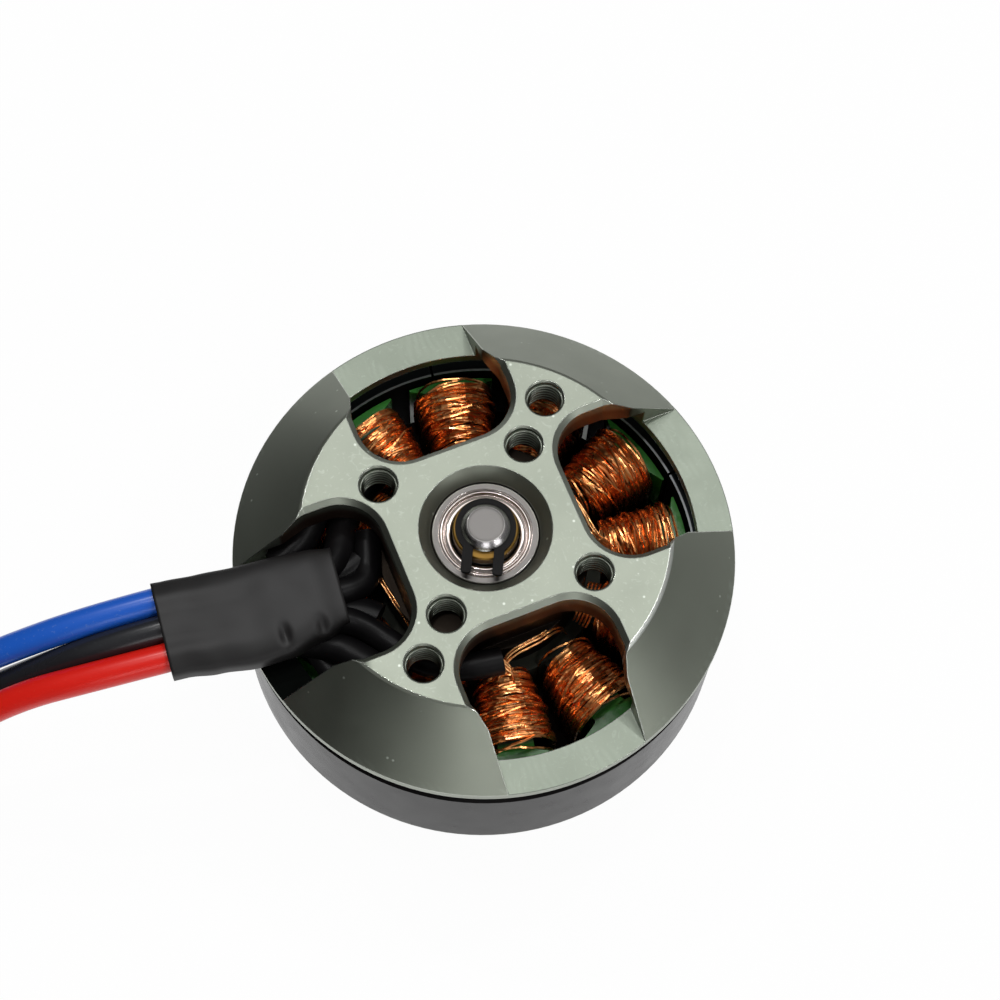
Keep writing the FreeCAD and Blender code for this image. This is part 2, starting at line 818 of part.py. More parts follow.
def shaft():
    """Steel shaft with chamfered ends and a groove for the retaining ring."""
    body = new_body("shaft")
    chamfer = dim.shaft_chamfer
    groove = shaft_radius - dim.ring_groove_depth
    revolve(body, "rod", [
        (ZERO, dim.shaft_setback),
        (shaft_radius - chamfer, dim.shaft_setback),
        (shaft_radius, dim.shaft_setback + chamfer),
        (shaft_radius, shim_top),
        (groove, shim_top),
        (groove, ring_top),
        (shaft_radius, ring_top),
        (shaft_radius, shaft_end - chamfer),
        (shaft_radius - chamfer, shaft_end),
        (ZERO, shaft_end),
    ])
    return body


def washer(label, bottom, top, diameter):
    """Plain turned ring on the shaft, with broken outer edges."""
    body = new_body(label)
    edge = dim.edge_break
    revolve(body, "ring", [
        (shaft_radius, bottom),
        (diameter / 2 - edge, bottom),
        (diameter / 2, bottom + edge),
        (diameter / 2, top - edge),
        (diameter / 2 - edge, top),
        (shaft_radius, top),
    ])
    return body


def retaining_ring():
    """External retaining ring in the shaft's groove, open on one side, with two straight lugs."""
    body = new_body("retaining_ring")
    bore = shaft_radius - dim.ring_groove_depth
    ring = sketch_on(body, "ring_outline", "XY_Plane", shim_top)
    circle(ring, dim.ring_diameter)
    circle(ring, bore * 2)
    add_feature(body, "Pad", "ring", ring, Length=dim.ring_thickness)
    half = dim.ring_opening / 2
    outer = half + dim.ring_lug_width
    root = dim.ring_diameter / 2 - dim.ring_lug_width
    for side, near, far in (("left", half, outer), ("right", -outer, -half)):
        lug = sketch_on(body, f"{side}_lug_outline", "XY_Plane", shim_top)
        outline(lug, [
            (root, near),
            (dim.ring_lug_reach, near, dim.ring_lug_width / 3),
            (dim.ring_lug_reach, far, dim.ring_lug_width / 3),
            (root, far),
        ])
        add_feature(body, "Pad", f"{side}_lug", lug, Length=dim.ring_thickness)
    mouth = sketch_on(body, "opening_outline", "XY_Plane", ring_top)
    outline(mouth, [
        (bore / 2, -half),
        (dim.ring_lug_reach + 1, -half),
        (dim.ring_lug_reach + 1, half),
        (bore / 2, half),
    ])
    add_feature(body, "Pocket", "opening", mouth, Length=dim.ring_thickness)
    place(body, angle=dim.ring_angle)
    return body


# ---------------------------------------------------------------------------------------------
# Leads, sleeves and connectors
# ---------------------------------------------------------------------------------------------
# Routes are measured from the point where the sleeve's axis leaves it: along the sleeve, across it
# towards the long arm, and up. Each lead drops to the level of the surface the motor stands on.
LEAD_ROUTES = {
    "blue": [(-2.0, -2.42, 0.0), (5.0, -2.42, 0.0), (13.3, -2.64, -2.8), (21.3, -3.3, -8.2),
             (28.8, -4.7, -14.2), (35.2, -6.1, -18.5), (40.8, -7.2, -20.1), (45.4, -8.1, -20.1)],
    "black": [(-2.0, 0.0, 0.0), (4.3, 0.0, 0.0), (12.8, -0.6, -5.3), (20.4, -0.6, -11.1),
              (27.6, -0.1, -16.2), (34.2, 0.6, -19.3), (39.9, 1.0, -20.1), (44.6, 1.3, -20.1)],
    "red": [(-2.0, 2.42, 0.0), (5.0, 2.42, 0.0), (13.6, 1.4, -3.0), (21.9, 2.1, -8.6),
            (29.6, 4.0, -14.2), (36.2, 5.9, -18.6), (41.8, 7.3, -20.1), (46.4, 8.2, -20.1)],
}

# Sleeves under the base plate, and the bare copper tails that leave them. Each turning point is a share
# of the radius where the coils start, and an angle.
PHASE_SLEEVE_TURNS = {
    "a": [(1.15, 200), (1.13, 184), (1.10, 168)],
    "b": [(0.96, 203)],
    "c": [(1.11, 238), (1.10, 255), (1.06, 272), (1.01, 289)],
}
PHASE_TAIL_TURNS = {
    "a": [(1.06, 150)],
    "b": [(0.96, 193)],
    "c": [(1.06, 307)],
}
STAR_SLEEVE_TURNS = [(1.36, 198), (1.36, 184), (1.34, 170)]


def sleeve_point(along, across, up):
    """Turn sleeve coordinates (along from the motor's axis, across, up from the sleeve's level) to the frame."""
    angle = math.radians(dim.sleeve_angle.number)
    height = dim.mount_height.number - dim.sleeve_drop.number + up
    return V(along * math.cos(angle) - across * math.sin(angle),
             along * math.sin(angle) + across * math.cos(angle), height)


def ring_point(share, degrees, drop):
    """Point at a share of the coils' inner radius and an angle about the shaft, below the mounting face."""
    angle = math.radians(degrees)
    radius = share * coil_start.number
    return V(radius * math.cos(angle), radius * math.sin(angle), dim.mount_height.number - drop)


def rounded_path(points):
    """Join straight runs by tangent arcs; return the wire and the arc radii."""
    edges = []
    radii = []
    start = points[0]
    for before, corner, after in zip(points, points[1:], points[2:]):
        into = (corner - before).normalize()
        out = (after - corner).normalize()
        half_turn = into.getAngle(out) / 2
        reach = 0.45 * min((corner - before).Length, (after - corner).Length)
        radii.append(reach / math.tan(half_turn))
        first = corner - into * reach
        last = corner + out * reach
        inward = (out - into).normalize()
        sagitta = radii[-1] * (1 / math.cos(half_turn) - 1)
        edges.append(Part.LineSegment(start, first).toShape())
        edges.append(Part.Arc(first, corner + inward * sagitta, last).toShape())
        start = last
    edges.append(Part.LineSegment(start, points[-1]).toShape())
    return Part.Wire(edges), radii


def tube(label, points, diameter):
    """Round solid along a rounded path, as a Part feature; the radii and volume are printed."""
    path, radii = rounded_path(points)
    section = Part.Wire(Part.makeCircle(diameter / 2, points[0], points[1] - points[0]))
    shape = Part.Wire(path).makePipeShell([section], True, True)
    piece = doc.addObject("Part::Feature", label)
    piece.Label = label
    piece.Shape = shape
    share = shape.Volume / (math.pi * diameter ** 2 / 4 * path.Length)
    turns = [round(r, 1) for r in radii]
    print(f"{label}: length {path.Length:.1f}, radii {turns}, volume share {share:.4f}")
    return piece


def heat_shrink():
    """Flat sleeve shrunk over the three soldered lead joints, with a mouth at each end."""
    body = new_body("lead_heat_shrink")
    height = dim.mount_height - dim.sleeve_drop
    sections = [
        (ZERO, dim.sleeve_offset, dim.sleeve_inner_width, dim.sleeve_inner_height),
        (dim.sleeve_neck_length, dim.sleeve_offset, dim.sleeve_neck_width, dim.sleeve_joint_height),
        (dim.sleeve_joint_length, dim.sleeve_joint_offset, dim.sleeve_joint_width, dim.sleeve_joint_height),
        (dim.sleeve_length, dim.sleeve_outer_offset, dim.sleeve_outer_width, dim.sleeve_outer_height),
    ]
    sketches = []
    for i, (along, middle, width, thickness) in enumerate(sections):
        sketch = sketch_on(body, f"section_{i}", "YZ_Plane", dim.sleeve_start + along)
        outline(sketch, slot_corners(middle, height, width, thickness))
        sketches.append(sketch)
    loft = body.newObject("PartDesign::AdditiveLoft", "lead_heat_shrink_loft")
    loft.Profile = sketches[0]
    loft.Sections = sketches[1:]
    body.Tip = loft
    lead_mouth = sketch_on(body, "lead_mouth", "YZ_Plane", dim.sleeve_start + dim.sleeve_length)
    lead_height = dim.lead_diameter + dim.slip
    lead_width = dim.lead_pitch * 2 + lead_height
    outline(lead_mouth, slot_corners(dim.lead_offset, height, lead_width, lead_height))
    add_feature(body, "Pocket", "lead_pocket", lead_mouth, Length=dim.sleeve_socket_depth)
    phase_mouth = sketch_on(body, "phase_mouth", "YZ_Plane", dim.sleeve_start)
    phase_height = dim.phase_sleeve_diameter + dim.slip
    phase_width = dim.phase_sleeve_pitch * 2 + phase_height
    outline(phase_mouth, slot_corners(dim.sleeve_offset, height, phase_width, phase_height))
    pocket = add_feature(body, "Pocket", "phase_pocket", phase_mouth, Length=dim.phase_sleeve_socket)
    pocket.Reversed = True
    place(body, angle=dim.sleeve_angle)
    return body


def slot_corners(middle, height, width, thickness):
    """Flat rounded section about a middle and a height."""
    half = width / 2
    rise = thickness / 2
    corner = thickness * dim.sleeve_corner_share
    return [
        (middle - half, height - rise, corner),
        (middle + half, height - rise, corner),
        (middle + half, height + rise, corner),
        (middle - half, height + rise, corner),
    ]


def phase_wiring():
    """Insulating sleeves under the plate: one on each phase, with its bare copper tail, and the star's."""
    inside = dim.sleeve_start.number + dim.phase_sleeve_socket.number
    middle = dim.sleeve_offset.number
    level = dim.phase_sleeve_drop.number
    radius = dim.tail_diameter.number / 2
    landing = (dim.stator_drop - dim.coil_overhang - dim.slip).number - radius
    sleeves = []
    tails = []
    for phase, side, straight in (("a", -1, dim.phase_sleeve_straight), ("b", 0, dim.phase_sleeve_reach),
                                  ("c", 1, dim.phase_sleeve_straight)):
        across = middle + side * dim.phase_sleeve_pitch.number
        points = [sleeve_point(inside, across, 0), sleeve_point(inside - straight.number, across, 0)]
        points.extend(ring_point(share, angle, level) for share, angle in PHASE_SLEEVE_TURNS[phase])
        sleeves.append(tube(f"phase_sleeve_{phase}", points, dim.phase_sleeve_diameter.number))
        end = points[-1]
        direction = (end - points[-2]).normalize()
        route = [end, end + direction * dim.tail_straight.number]
        route.extend(ring_point(share, angle, landing) for share, angle in PHASE_TAIL_TURNS[phase])
        section = Part.Wire(Part.makeCircle(radius, end, direction))
        tails.append(rounded_path(route)[0].makePipeShell([section], True, True))
    piece = doc.addObject("Part::Feature", "phase_tails")
    piece.Label = "phase_tails"
    piece.Shape = Part.makeCompound(tails)
    star = [ring_point(share, angle, dim.star_sleeve_drop.number) for share, angle in STAR_SLEEVE_TURNS]
    return [*sleeves, piece, tube("star_joint_sleeve", star, dim.star_sleeve_diameter.number)]


def crossover_wires():
    """Copper wires that cross from coil to coil beside the coils' inner ends."""
    body = new_body("crossover_wires")
    sketch = sketch_on(body, "wire_section")
    radius = coil_start - dim.crossover_diameter / 2 - dim.slip
    circle(sketch, dim.crossover_diameter, radius, dim.mount_height - dim.crossover_drop)
    wire = add_feature(body, "Revolution", "wire", sketch, Angle=dim.crossover_span)
    wire.ReferenceAxis = (sketch, ["V_Axis"])
    wire.Midplane = True
    pattern(body, "set", [wire], dim.crossover_count)
    place(body, angle=dim.crossover_angle)
    return body


def lead(colour):
    """One silicone lead with its bullet connector and the connector's sleeve."""
    outlet = dim.sleeve_start.number + dim.sleeve_length.number
    middle = dim.lead_offset.number
    points = [sleeve_point(outlet + along, middle + across, up) for along, across, up in LEAD_ROUTES[colour]]
    cord = tube(f"lead_{colour}", points, dim.lead_diameter.number)
    direction = points[-1] - points[-2]
    seat = FreeCAD.Placement(points[-1], FreeCAD.Rotation(V(0, 0, 1), direction))
    pieces = [cord, connector(colour), connector_sleeve(colour)]
    for piece in pieces[1:]:
        piece.Placement = seat
    return pieces


def connector(colour):
    """Gold bullet connector: solder cup, collar and a bulged spring pin with slits."""
    body = new_body(f"connector_{colour}")
    cup = dim.connector_cup_diameter / 2
    cup_end = dim.connector_cup_length
    collar_end = cup_end + dim.connector_collar_length
    neck = dim.connector_neck_diameter / 2
    spring = dim.connector_spring_diameter / 2
    tip = collar_end + dim.connector_pin_length
    quarter = dim.connector_pin_length / 4
    revolve(body, "turning", [
        (ZERO, ZERO),
        (cup, ZERO),
        (cup, cup_end),
        (dim.connector_collar_diameter / 2, cup_end),
        (dim.connector_collar_diameter / 2, collar_end),
        (neck, collar_end),
        (spring, collar_end + quarter),
        (spring, collar_end + quarter * 2),
        (neck, tip - dim.connector_nose_length),
        (neck / 2, tip),
        (ZERO, tip),
    ])
    slit = sketch_on(body, "slit_outline")
    outline(slit, [
        (neck / 2, collar_end + quarter / 2),
        (spring + 1, collar_end + quarter / 2),
        (spring + 1, tip - dim.connector_nose_length),
        (neck / 2, tip - dim.connector_nose_length),
    ])
    cut = add_feature(body, "Pocket", "slit", slit, Length=dim.connector_slit)
    cut.Midplane = True
    pattern(body, "slits", [cut], dim.connector_slit_count)
    return body


def connector_sleeve(colour):
    """Heat-shrink over the solder cup and the end of the lead."""
    body = new_body(f"connector_sleeve_{colour}")
    wall = dim.connector_sleeve_wall
    grip = dim.lead_diameter / 2 + dim.slip
    cup = dim.connector_cup_diameter / 2
    revolve(body, "tube", [
        (grip, -dim.connector_sleeve_grip),
        (grip + wall, -dim.connector_sleeve_grip),
        (grip + wall, -wall * 2),
        (cup + wall, wall),
        (cup + wall, dim.connector_cup_length),
        (cup, dim.connector_cup_length),
        (cup, ZERO),
        (grip, ZERO),
    ])
    return body


# ---------------------------------------------------------------------------------------------
# Assembly
# ---------------------------------------------------------------------------------------------
def flatten(items):
    """Flatten nested lists of sub-parts."""
    flat = []
    for item in items:
        flat.extend(flatten(item) if isinstance(item, list) else [item])
    return flat


def check_objects():
    """Stop when a feature failed to recompute."""
    failed = [item.Name for item in doc.Objects if "Invalid" in item.State or "Error" in item.State]
    if failed:
        raise RuntimeError(f"objects failed to recompute: {failed}")


def export(pieces):
    """Check each sub-part's shape and write it to its STEP file."""
    os.makedirs("parts", exist_ok=True)
    for piece in pieces:
        shape = piece.Shape
        if shape.isNull() or not shape.isValid():
            raise RuntimeError(f"{piece.Label} has no valid shape")
        print(f"{piece.Label}: {len(shape.Solids)} solid(s), {shape.Volume:.2f} mm3")
        shape.exportStep(f"parts/{piece.Label}.step")


def main():
    """Build every sub-part, check the document and write the STEP files."""
    pieces = flatten([
        mounting_base(),
        bearing("rear", rear_bearing_face),
        bearing("front", front_bearing_seat),
        stator_core(),
        winding("a", 5),
        winding("b", 7),
        winding("c", 9),
        crossover_wires(),
        phase_wiring(),
        heat_shrink(),
        [lead(colour) for colour in LEAD_ROUTES],
        flux_ring(),
        magnets(),
        bell(),
        grub_screws(),
        shaft(),
        washer("front_spacer", hub_top, front_bearing_face, dim.spacer_diameter),
        washer("shaft_shim", rear_bearing_face, shim_top, dim.shim_diameter),
        retaining_ring(),
    ])
    doc.recompute()
    check_objects()
    export(pieces)


main()
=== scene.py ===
"""Looks of a brushless outrunner motor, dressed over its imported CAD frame.

Every length is in metres in the frame of the CAD model: +Z runs along the shaft and out of the
mounting face, and z = 0 is the propeller seat that the motor stands on.
"""
from __future__ import annotations

import logging
import math
from dataclasses import dataclass
from enum import Enum

import bmesh
import bpy
from mathutils import Matrix, Vector, noise


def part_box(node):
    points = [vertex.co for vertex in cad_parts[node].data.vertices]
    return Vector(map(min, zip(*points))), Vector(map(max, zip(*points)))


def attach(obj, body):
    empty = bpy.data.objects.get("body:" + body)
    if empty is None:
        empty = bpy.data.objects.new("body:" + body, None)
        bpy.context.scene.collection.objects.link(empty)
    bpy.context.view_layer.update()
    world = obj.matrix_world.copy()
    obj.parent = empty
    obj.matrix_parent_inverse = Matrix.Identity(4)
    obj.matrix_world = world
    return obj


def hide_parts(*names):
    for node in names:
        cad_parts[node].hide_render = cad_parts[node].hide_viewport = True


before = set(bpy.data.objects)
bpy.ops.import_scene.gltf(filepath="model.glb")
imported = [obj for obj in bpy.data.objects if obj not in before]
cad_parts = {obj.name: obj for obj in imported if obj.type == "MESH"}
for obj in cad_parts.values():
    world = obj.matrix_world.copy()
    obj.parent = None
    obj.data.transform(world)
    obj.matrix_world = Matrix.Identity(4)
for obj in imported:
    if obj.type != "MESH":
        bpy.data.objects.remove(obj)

LOG = logging.getLogger("outrunner")
MM = 0.001
# a wave texture of scale 0.314 repeats once in a unit of length
WAVE_SHARE = 0.314
WHITE = (1.0, 1.0, 1.0, 1.0)

Tree, Node, Socket = bpy.types.NodeTree, bpy.types.Node, bpy.types.NodeSocket
Material, Piece = bpy.types.Material, bpy.types.Object


class Body(Enum):
    """Rigid bodies that the pieces ride on."""

    STATOR = "stator"
    ROTOR = "rotor"


# ---------------------------------------------------------------------------------------------
# Node and mesh helpers
# ---------------------------------------------------------------------------------------------
def linear(code: str) -> tuple[float, float, float, float]:
    """Turn an sRGB hex colour into linear light.

    Args:
        code: Colour such as "#C8652B".

    Returns:
        Red, green, blue and an alpha of one.
    """
    parts = [int(code[i:i + 2], 16) / 255 for i in (1, 3, 5)]
    light = [c / 12.92 if c <= 0.04045 else ((c + 0.055) / 1.055) ** 2.4 for c in parts]
    return (light[0], light[1], light[2], 1.0)


def add_node(tree: Tree, kind: str, inputs: dict | None = None, **settings: object) -> Node:
    """Add a node with its settings, input values and links.

    Args:
        tree: Node tree that receives the node.
        kind: Type name of the node.
        inputs: By the input's name or index: a value, a socket to link from, a node whose first
            output is meant, or a list of these.
        settings: Properties of the node by name.

    Returns:
        The new node.
    """
    node = tree.nodes.new(kind)
    for name, value in settings.items():
        setattr(node, name, value)
    for key, value in (inputs or {}).items():
        entry = next(s for i, s in enumerate(node.inputs) if s.enabled and key in (i, s.name))
        for source in value if isinstance(value, list) else [value]:
            if isinstance(source, Node):
                source = next(s for s in source.outputs if s.enabled)
            if isinstance(source, Socket):
                tree.links.new(source, entry)
            else:
                entry.default_value = source
    return node


def bare_tree(owner: Material | bpy.types.World) -> Tree:
    """Give a material or world an empty node tree.

    Args:
        owner: The material or world.

    Returns:
        Its tree.
    """
    owner.use_nodes = True
    owner.node_tree.nodes.clear()
    return owner.node_tree


def give_material(material: Material, *node_names: str) -> None:
    """Put one material on CAD nodes.

    Args:
        material: Material for every slot of them.
        node_names: Names of the nodes.
    """
    for name in node_names:
        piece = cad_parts[name]
        if not piece.material_slots:
            piece.data.materials.append(material)
        for slot in piece.material_slots:
            slot.material = material


def link_piece(name: str, data: bpy.types.ID) -> Piece:
    """Put data into the scene as an object at the origin.

    Args:
        name: Name of the object.
        data: Its mesh, curve, lamp or camera.

    Returns:
        The linked object.
    """
    piece = bpy.data.objects.new(name, data)
    bpy.context.scene.collection.objects.link(piece)
    return piece


def mesh_piece(name: str, vertices: list, faces: list, material: Material, smooth: bool = True,
               edges: list | None = None) -> Piece:
    """Make a mesh object that sits at the origin.

    Args:
        name: Name of the piece.
        vertices: Points in metres.
        faces: Vertex indices of each face.
        material: Material of the piece.
        smooth: Whether the faces are shaded smooth.
        edges: Loose edges of a piece that only guides another.

    Returns:
        The linked object.
    """
    mesh = bpy.data.meshes.new(name)
    mesh.from_pydata([tuple(v) for v in vertices], edges or [], faces)
    mesh.update()
    mesh.materials.append(material)
    mesh.polygons.foreach_set("use_smooth", [smooth] * len(mesh.polygons))
    return link_piece(name, mesh)


def point_outwards(mesh: bpy.types.Mesh) -> None:
    """Turn the faces of a closed mesh outwards.

    Args:
        mesh: The mesh, changed in place.
    """
    work = bmesh.new()
    work.from_mesh(mesh)
    bmesh.ops.recalc_face_normals(work, faces=work.faces)
    work.to_mesh(mesh)
    work.free()


def polar(degrees: float, radius: float, height: float) -> Vector:
    """Give a point about the shaft.

    Args:
        degrees: Angle from +X.
        radius: Distance from the shaft in millimetres.
        height: Height in millimetres.

    Returns:
        The point in metres.
    """
    angle = math.radians(degrees)
    return Vector((radius * math.cos(angle), radius * math.sin(angle), height)) * MM


def turned_piece(name: str, profiles: list[list[tuple[float, float]]], material: Material, around: int = 120,
                 sweep: tuple[float, float] = (0.0, 360.0)) -> Piece:
    """Turn closed profiles about the shaft.

    Args:
        name: Name of the piece.
        profiles: Closed outlines, each a list of radius and height in millimetres.
        material: Material of the piece.
        around: Number of steps about the shaft.
        sweep: First and last angle in degrees.

    Returns:
        The linked object.
    """
    vertices, faces = [], []
    whole = sweep[1] - sweep[0] >= 360
    for profile in profiles:
        first, count = len(vertices), len(profile)
        for step in range(around if whole else around + 1):
            angle = math.radians(sweep[0] + (sweep[1] - sweep[0]) * step / around)
            vertices += [(r * MM * math.cos(angle), r * MM * math.sin(angle), z * MM) for r, z in profile]
        if not whole:
            faces += [tuple(range(first, first + count)), tuple(range(len(vertices) - count, len(vertices)))]
        for step in range(around):
            here = first + step * count
            there = first + ((step + 1) % around if whole else step + 1) * count
            faces += [(here + i, there + i, there + (i + 1) % count, here + (i + 1) % count)
                      for i in range(count)]
    piece = mesh_piece(name, vertices, faces, material)
    point_outwards(piece.data)
    return piece


def grow(name: str, tree: Tree, values: dict, seeds: list[Vector],
         edges: list[tuple[int, int]] | None = None) -> Piece:
    """Run a geometry node tree on a few points or lines and keep its result as a plain mesh.

    Args:
        name: Name of the piece.
        tree: Geometry node tree with named inputs.
        values: Value of each named input.
        seeds: Points that the tree starts from.
        edges: Pairs of points that lines join.

    Returns:
        The linked object with the finished mesh.
    """
    host = mesh_piece(f"{name}.host", seeds, [], next(iter(bpy.data.materials)), edges=edges)
    modifier = host.modifiers.new("grow", "NODES")
    modifier.node_group = tree
    for item in tree.interface.items_tree:
        if item.item_type == "SOCKET" and item.in_out == "INPUT" and item.name in values:
            modifier[item.identifier] = values[item.name]
    graph = bpy.context.evaluated_depsgraph_get()
    mesh = bpy.data.meshes.new_from_object(host.evaluated_get(graph), depsgraph=graph)
    mesh.name = name
    bpy.data.objects.remove(host)
    return link_piece(name, mesh)


def finish_piece(piece: Piece, slot: str, *nodes: str, body: Body = Body.STATOR) -> None:
    """Tie a piece to its body and hide the CAD nodes that it stands for.

    Args:
        piece: The finished piece.
        slot: Not used.
        nodes: CAD nodes that it replaces.
        body: Body that it rides on.
    """
    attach(piece, body.value)
    if nodes:
        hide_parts(*nodes)
    LOG.info("%s: %d faces", piece.name, len(piece.data.polygons) if piece.type == "MESH" else 0)


# ---------------------------------------------------------------------------------------------
# Finishes
# ---------------------------------------------------------------------------------------------
@dataclass(frozen=True)
class Skin:
    """A material under way: its tree, its principled shader and its object coordinates.

    A pattern or mask comes as a node, whose first output is meant, or as a socket.
    """

    tree: Tree
    shader: Node
    place: Socket

    def source(self, name: str) -> Socket | tuple | float:
        """Give what feeds an input of the shader: a socket, or else its plain value."""
        entry = self.shader.inputs[name]
        if entry.links:
            return entry.links[0].from_socket
        return tuple(entry.default_value) if entry.type == "RGBA" else entry.default_value

    def feed(self, name: str, node: Node) -> None:
        """Let a node's first output feed an input of the shader."""
        self.tree.links.new(next(s for s in node.outputs if s.enabled), self.shader.inputs[name])

    def laid(self, size_mm: float, inputs: dict | None = None, share: float = 1.0) -> dict:
        """Give the inputs that lay a texture over the object at its real size.

        Args:
            size_mm: Size of its grain, or distance from wave to wave.
            inputs: Its other inputs.
            share: Scale at which the texture repeats once in a unit of length.

        Returns:
            All its inputs by name.
        """
        return {"Vector": self.place, "Scale": share / (size_mm * MM), **(inputs or {})}

    def vary(self, factor: Node | Socket, other: str, amount: float) -> None:
        """Blend the base colour towards another colour by a pattern.

        Args:
            factor: Pattern from zero to one.
            other: Colour that the pattern brings.
            amount: Largest share of that colour.
        """
        share = add_node(self.tree, "ShaderNodeMath", {0: factor, 1: amount}, operation="MULTIPLY")
        self.feed("Base Color", add_node(
            self.tree, "ShaderNodeMix", {"Factor": share, "A": self.source("Base Color"), "B": linear(other)},
            data_type="RGBA"))

    def roughen(self, factor: Node | Socket, low: float, high: float) -> None:
        """Let a pattern move the roughness between two values.

        Args:
            factor: Pattern from zero to one.
            low: Roughness where the pattern is zero.
            high: Roughness where the pattern is one.
        """
        self.feed("Roughness", add_node(self.tree, "ShaderNodeMapRange",
                                        {"Value": factor, "To Min": low, "To Max": high}))

    def polish(self, mask: Node | Socket, roughness: float) -> None:
        """Give the surface another roughness under a mask.

        Args:
            mask: Where the other roughness holds.
            roughness: The other roughness.
        """
        self.feed("Roughness", add_node(
            self.tree, "ShaderNodeMix", {"Factor": mask, "A": self.source("Roughness"), "B": roughness},
            data_type="FLOAT"))

    def emboss(self, height: Node | Socket, depth_mm: float) -> None:
        """Add relief to the surface, on top of any relief that it has.

        Args:
            height: Height pattern from zero to one.
            depth_mm: Real depth of the relief.
        """
        inputs = {"Height": height, "Distance": depth_mm * MM, "Strength": 1.0}
        if self.shader.inputs["Normal"].links:
            inputs["Normal"] = self.source("Normal")
        self.feed("Normal", add_node(self.tree, "ShaderNodeBump", inputs))

    def step(self, value: Node | Socket, low: float, high: float, other: Node | Socket | None = None,
             soft: bool = True) -> Node:
        """Fade from zero to one as a value goes from low to high, times another mask where one is given.

        Args:
            value: The value.
            low: Value at which the mask is zero.
            high: Value at which the mask is one.
            other: Mask to multiply by.
            soft: Whether the fade eases in and out.

        Returns:
            The node whose first output is the mask.
        """
        fade = add_node(self.tree, "ShaderNodeMapRange", {"Value": value, "From Min": low, "From Max": high},
                        interpolation_type="SMOOTHSTEP" if soft else "LINEAR")
        if other is None:
            return fade
        return add_node(self.tree, "ShaderNodeMath", {0: fade, 1: other}, operation="MULTIPLY")

    def height(self) -> Socket:
        """Give the height above the propeller seat in metres."""
        return add_node(self.tree, "ShaderNodeSeparateXYZ", {0: self.place}).outputs["Z"]

    def facing(self) -> Socket:
        """Give how far the surface faces up, from minus one to one."""
        true = add_node(self.tree, "ShaderNodeNewGeometry").outputs["Normal"]
        return add_node(self.tree, "ShaderNodeSeparateXYZ", {0: true}).outputs["Z"]

    def reach(self) -> Node:
        """Give the distance from the shaft in metres."""
        flat = add_node(self.tree, "ShaderNodeVectorMath", {0: self.place, 1: (1.0, 1.0, 0.0)},
                        operation="MULTIPLY")
        return add_node(self.tree, "ShaderNodeVectorMath", {0: flat}, operation="LENGTH")

    def break_edges(self, radius_mm: float) -> Node:
        """Shade sharp edges as if they were broken, so that they catch the light.

        Args:
            radius_mm: Radius of the broken edge.

        Returns:
            A mask that is one along the edges.
        """
        edge = add_node(self.tree, "ShaderNodeBevel", {"Radius": radius_mm * MM}, samples=6)
        self.feed("Normal", edge)
        true = add_node(self.tree, "ShaderNodeNewGeometry").outputs["Normal"]
        turn = add_node(self.tree, "ShaderNodeVectorMath", {0: edge, 1: true}, operation="DOT_PRODUCT")
        return self.step(turn, 0.998, 0.96)


@dataclass(frozen=True)
class Finish:
    """Shared part of every finish: a named material with a principled shader."""

    name: str
    colour: str
    roughness: float
    metallic: float = 0.0

    def build(self) -> Material:
        """Make the material.

        Returns:
            The finished material.
        """
        material = bpy.data.materials.new(self.name)
        material.use_nodes = True
        tree = material.node_tree
        shader = next(n for n in tree.nodes if n.type == "BSDF_PRINCIPLED")
        shader.inputs["Base Color"].default_value = linear(self.colour)
        shader.inputs["Roughness"].default_value = self.roughness
        shader.inputs["Metallic"].default_value = self.metallic
        self.detail(Skin(tree, shader, add_node(tree, "ShaderNodeTexCoord").outputs["Object"]))
        return material

    def detail(self, skin: Skin) -> None:
        """Add the surface detail of the finish.

        Args:
            skin: The material under way.
        """


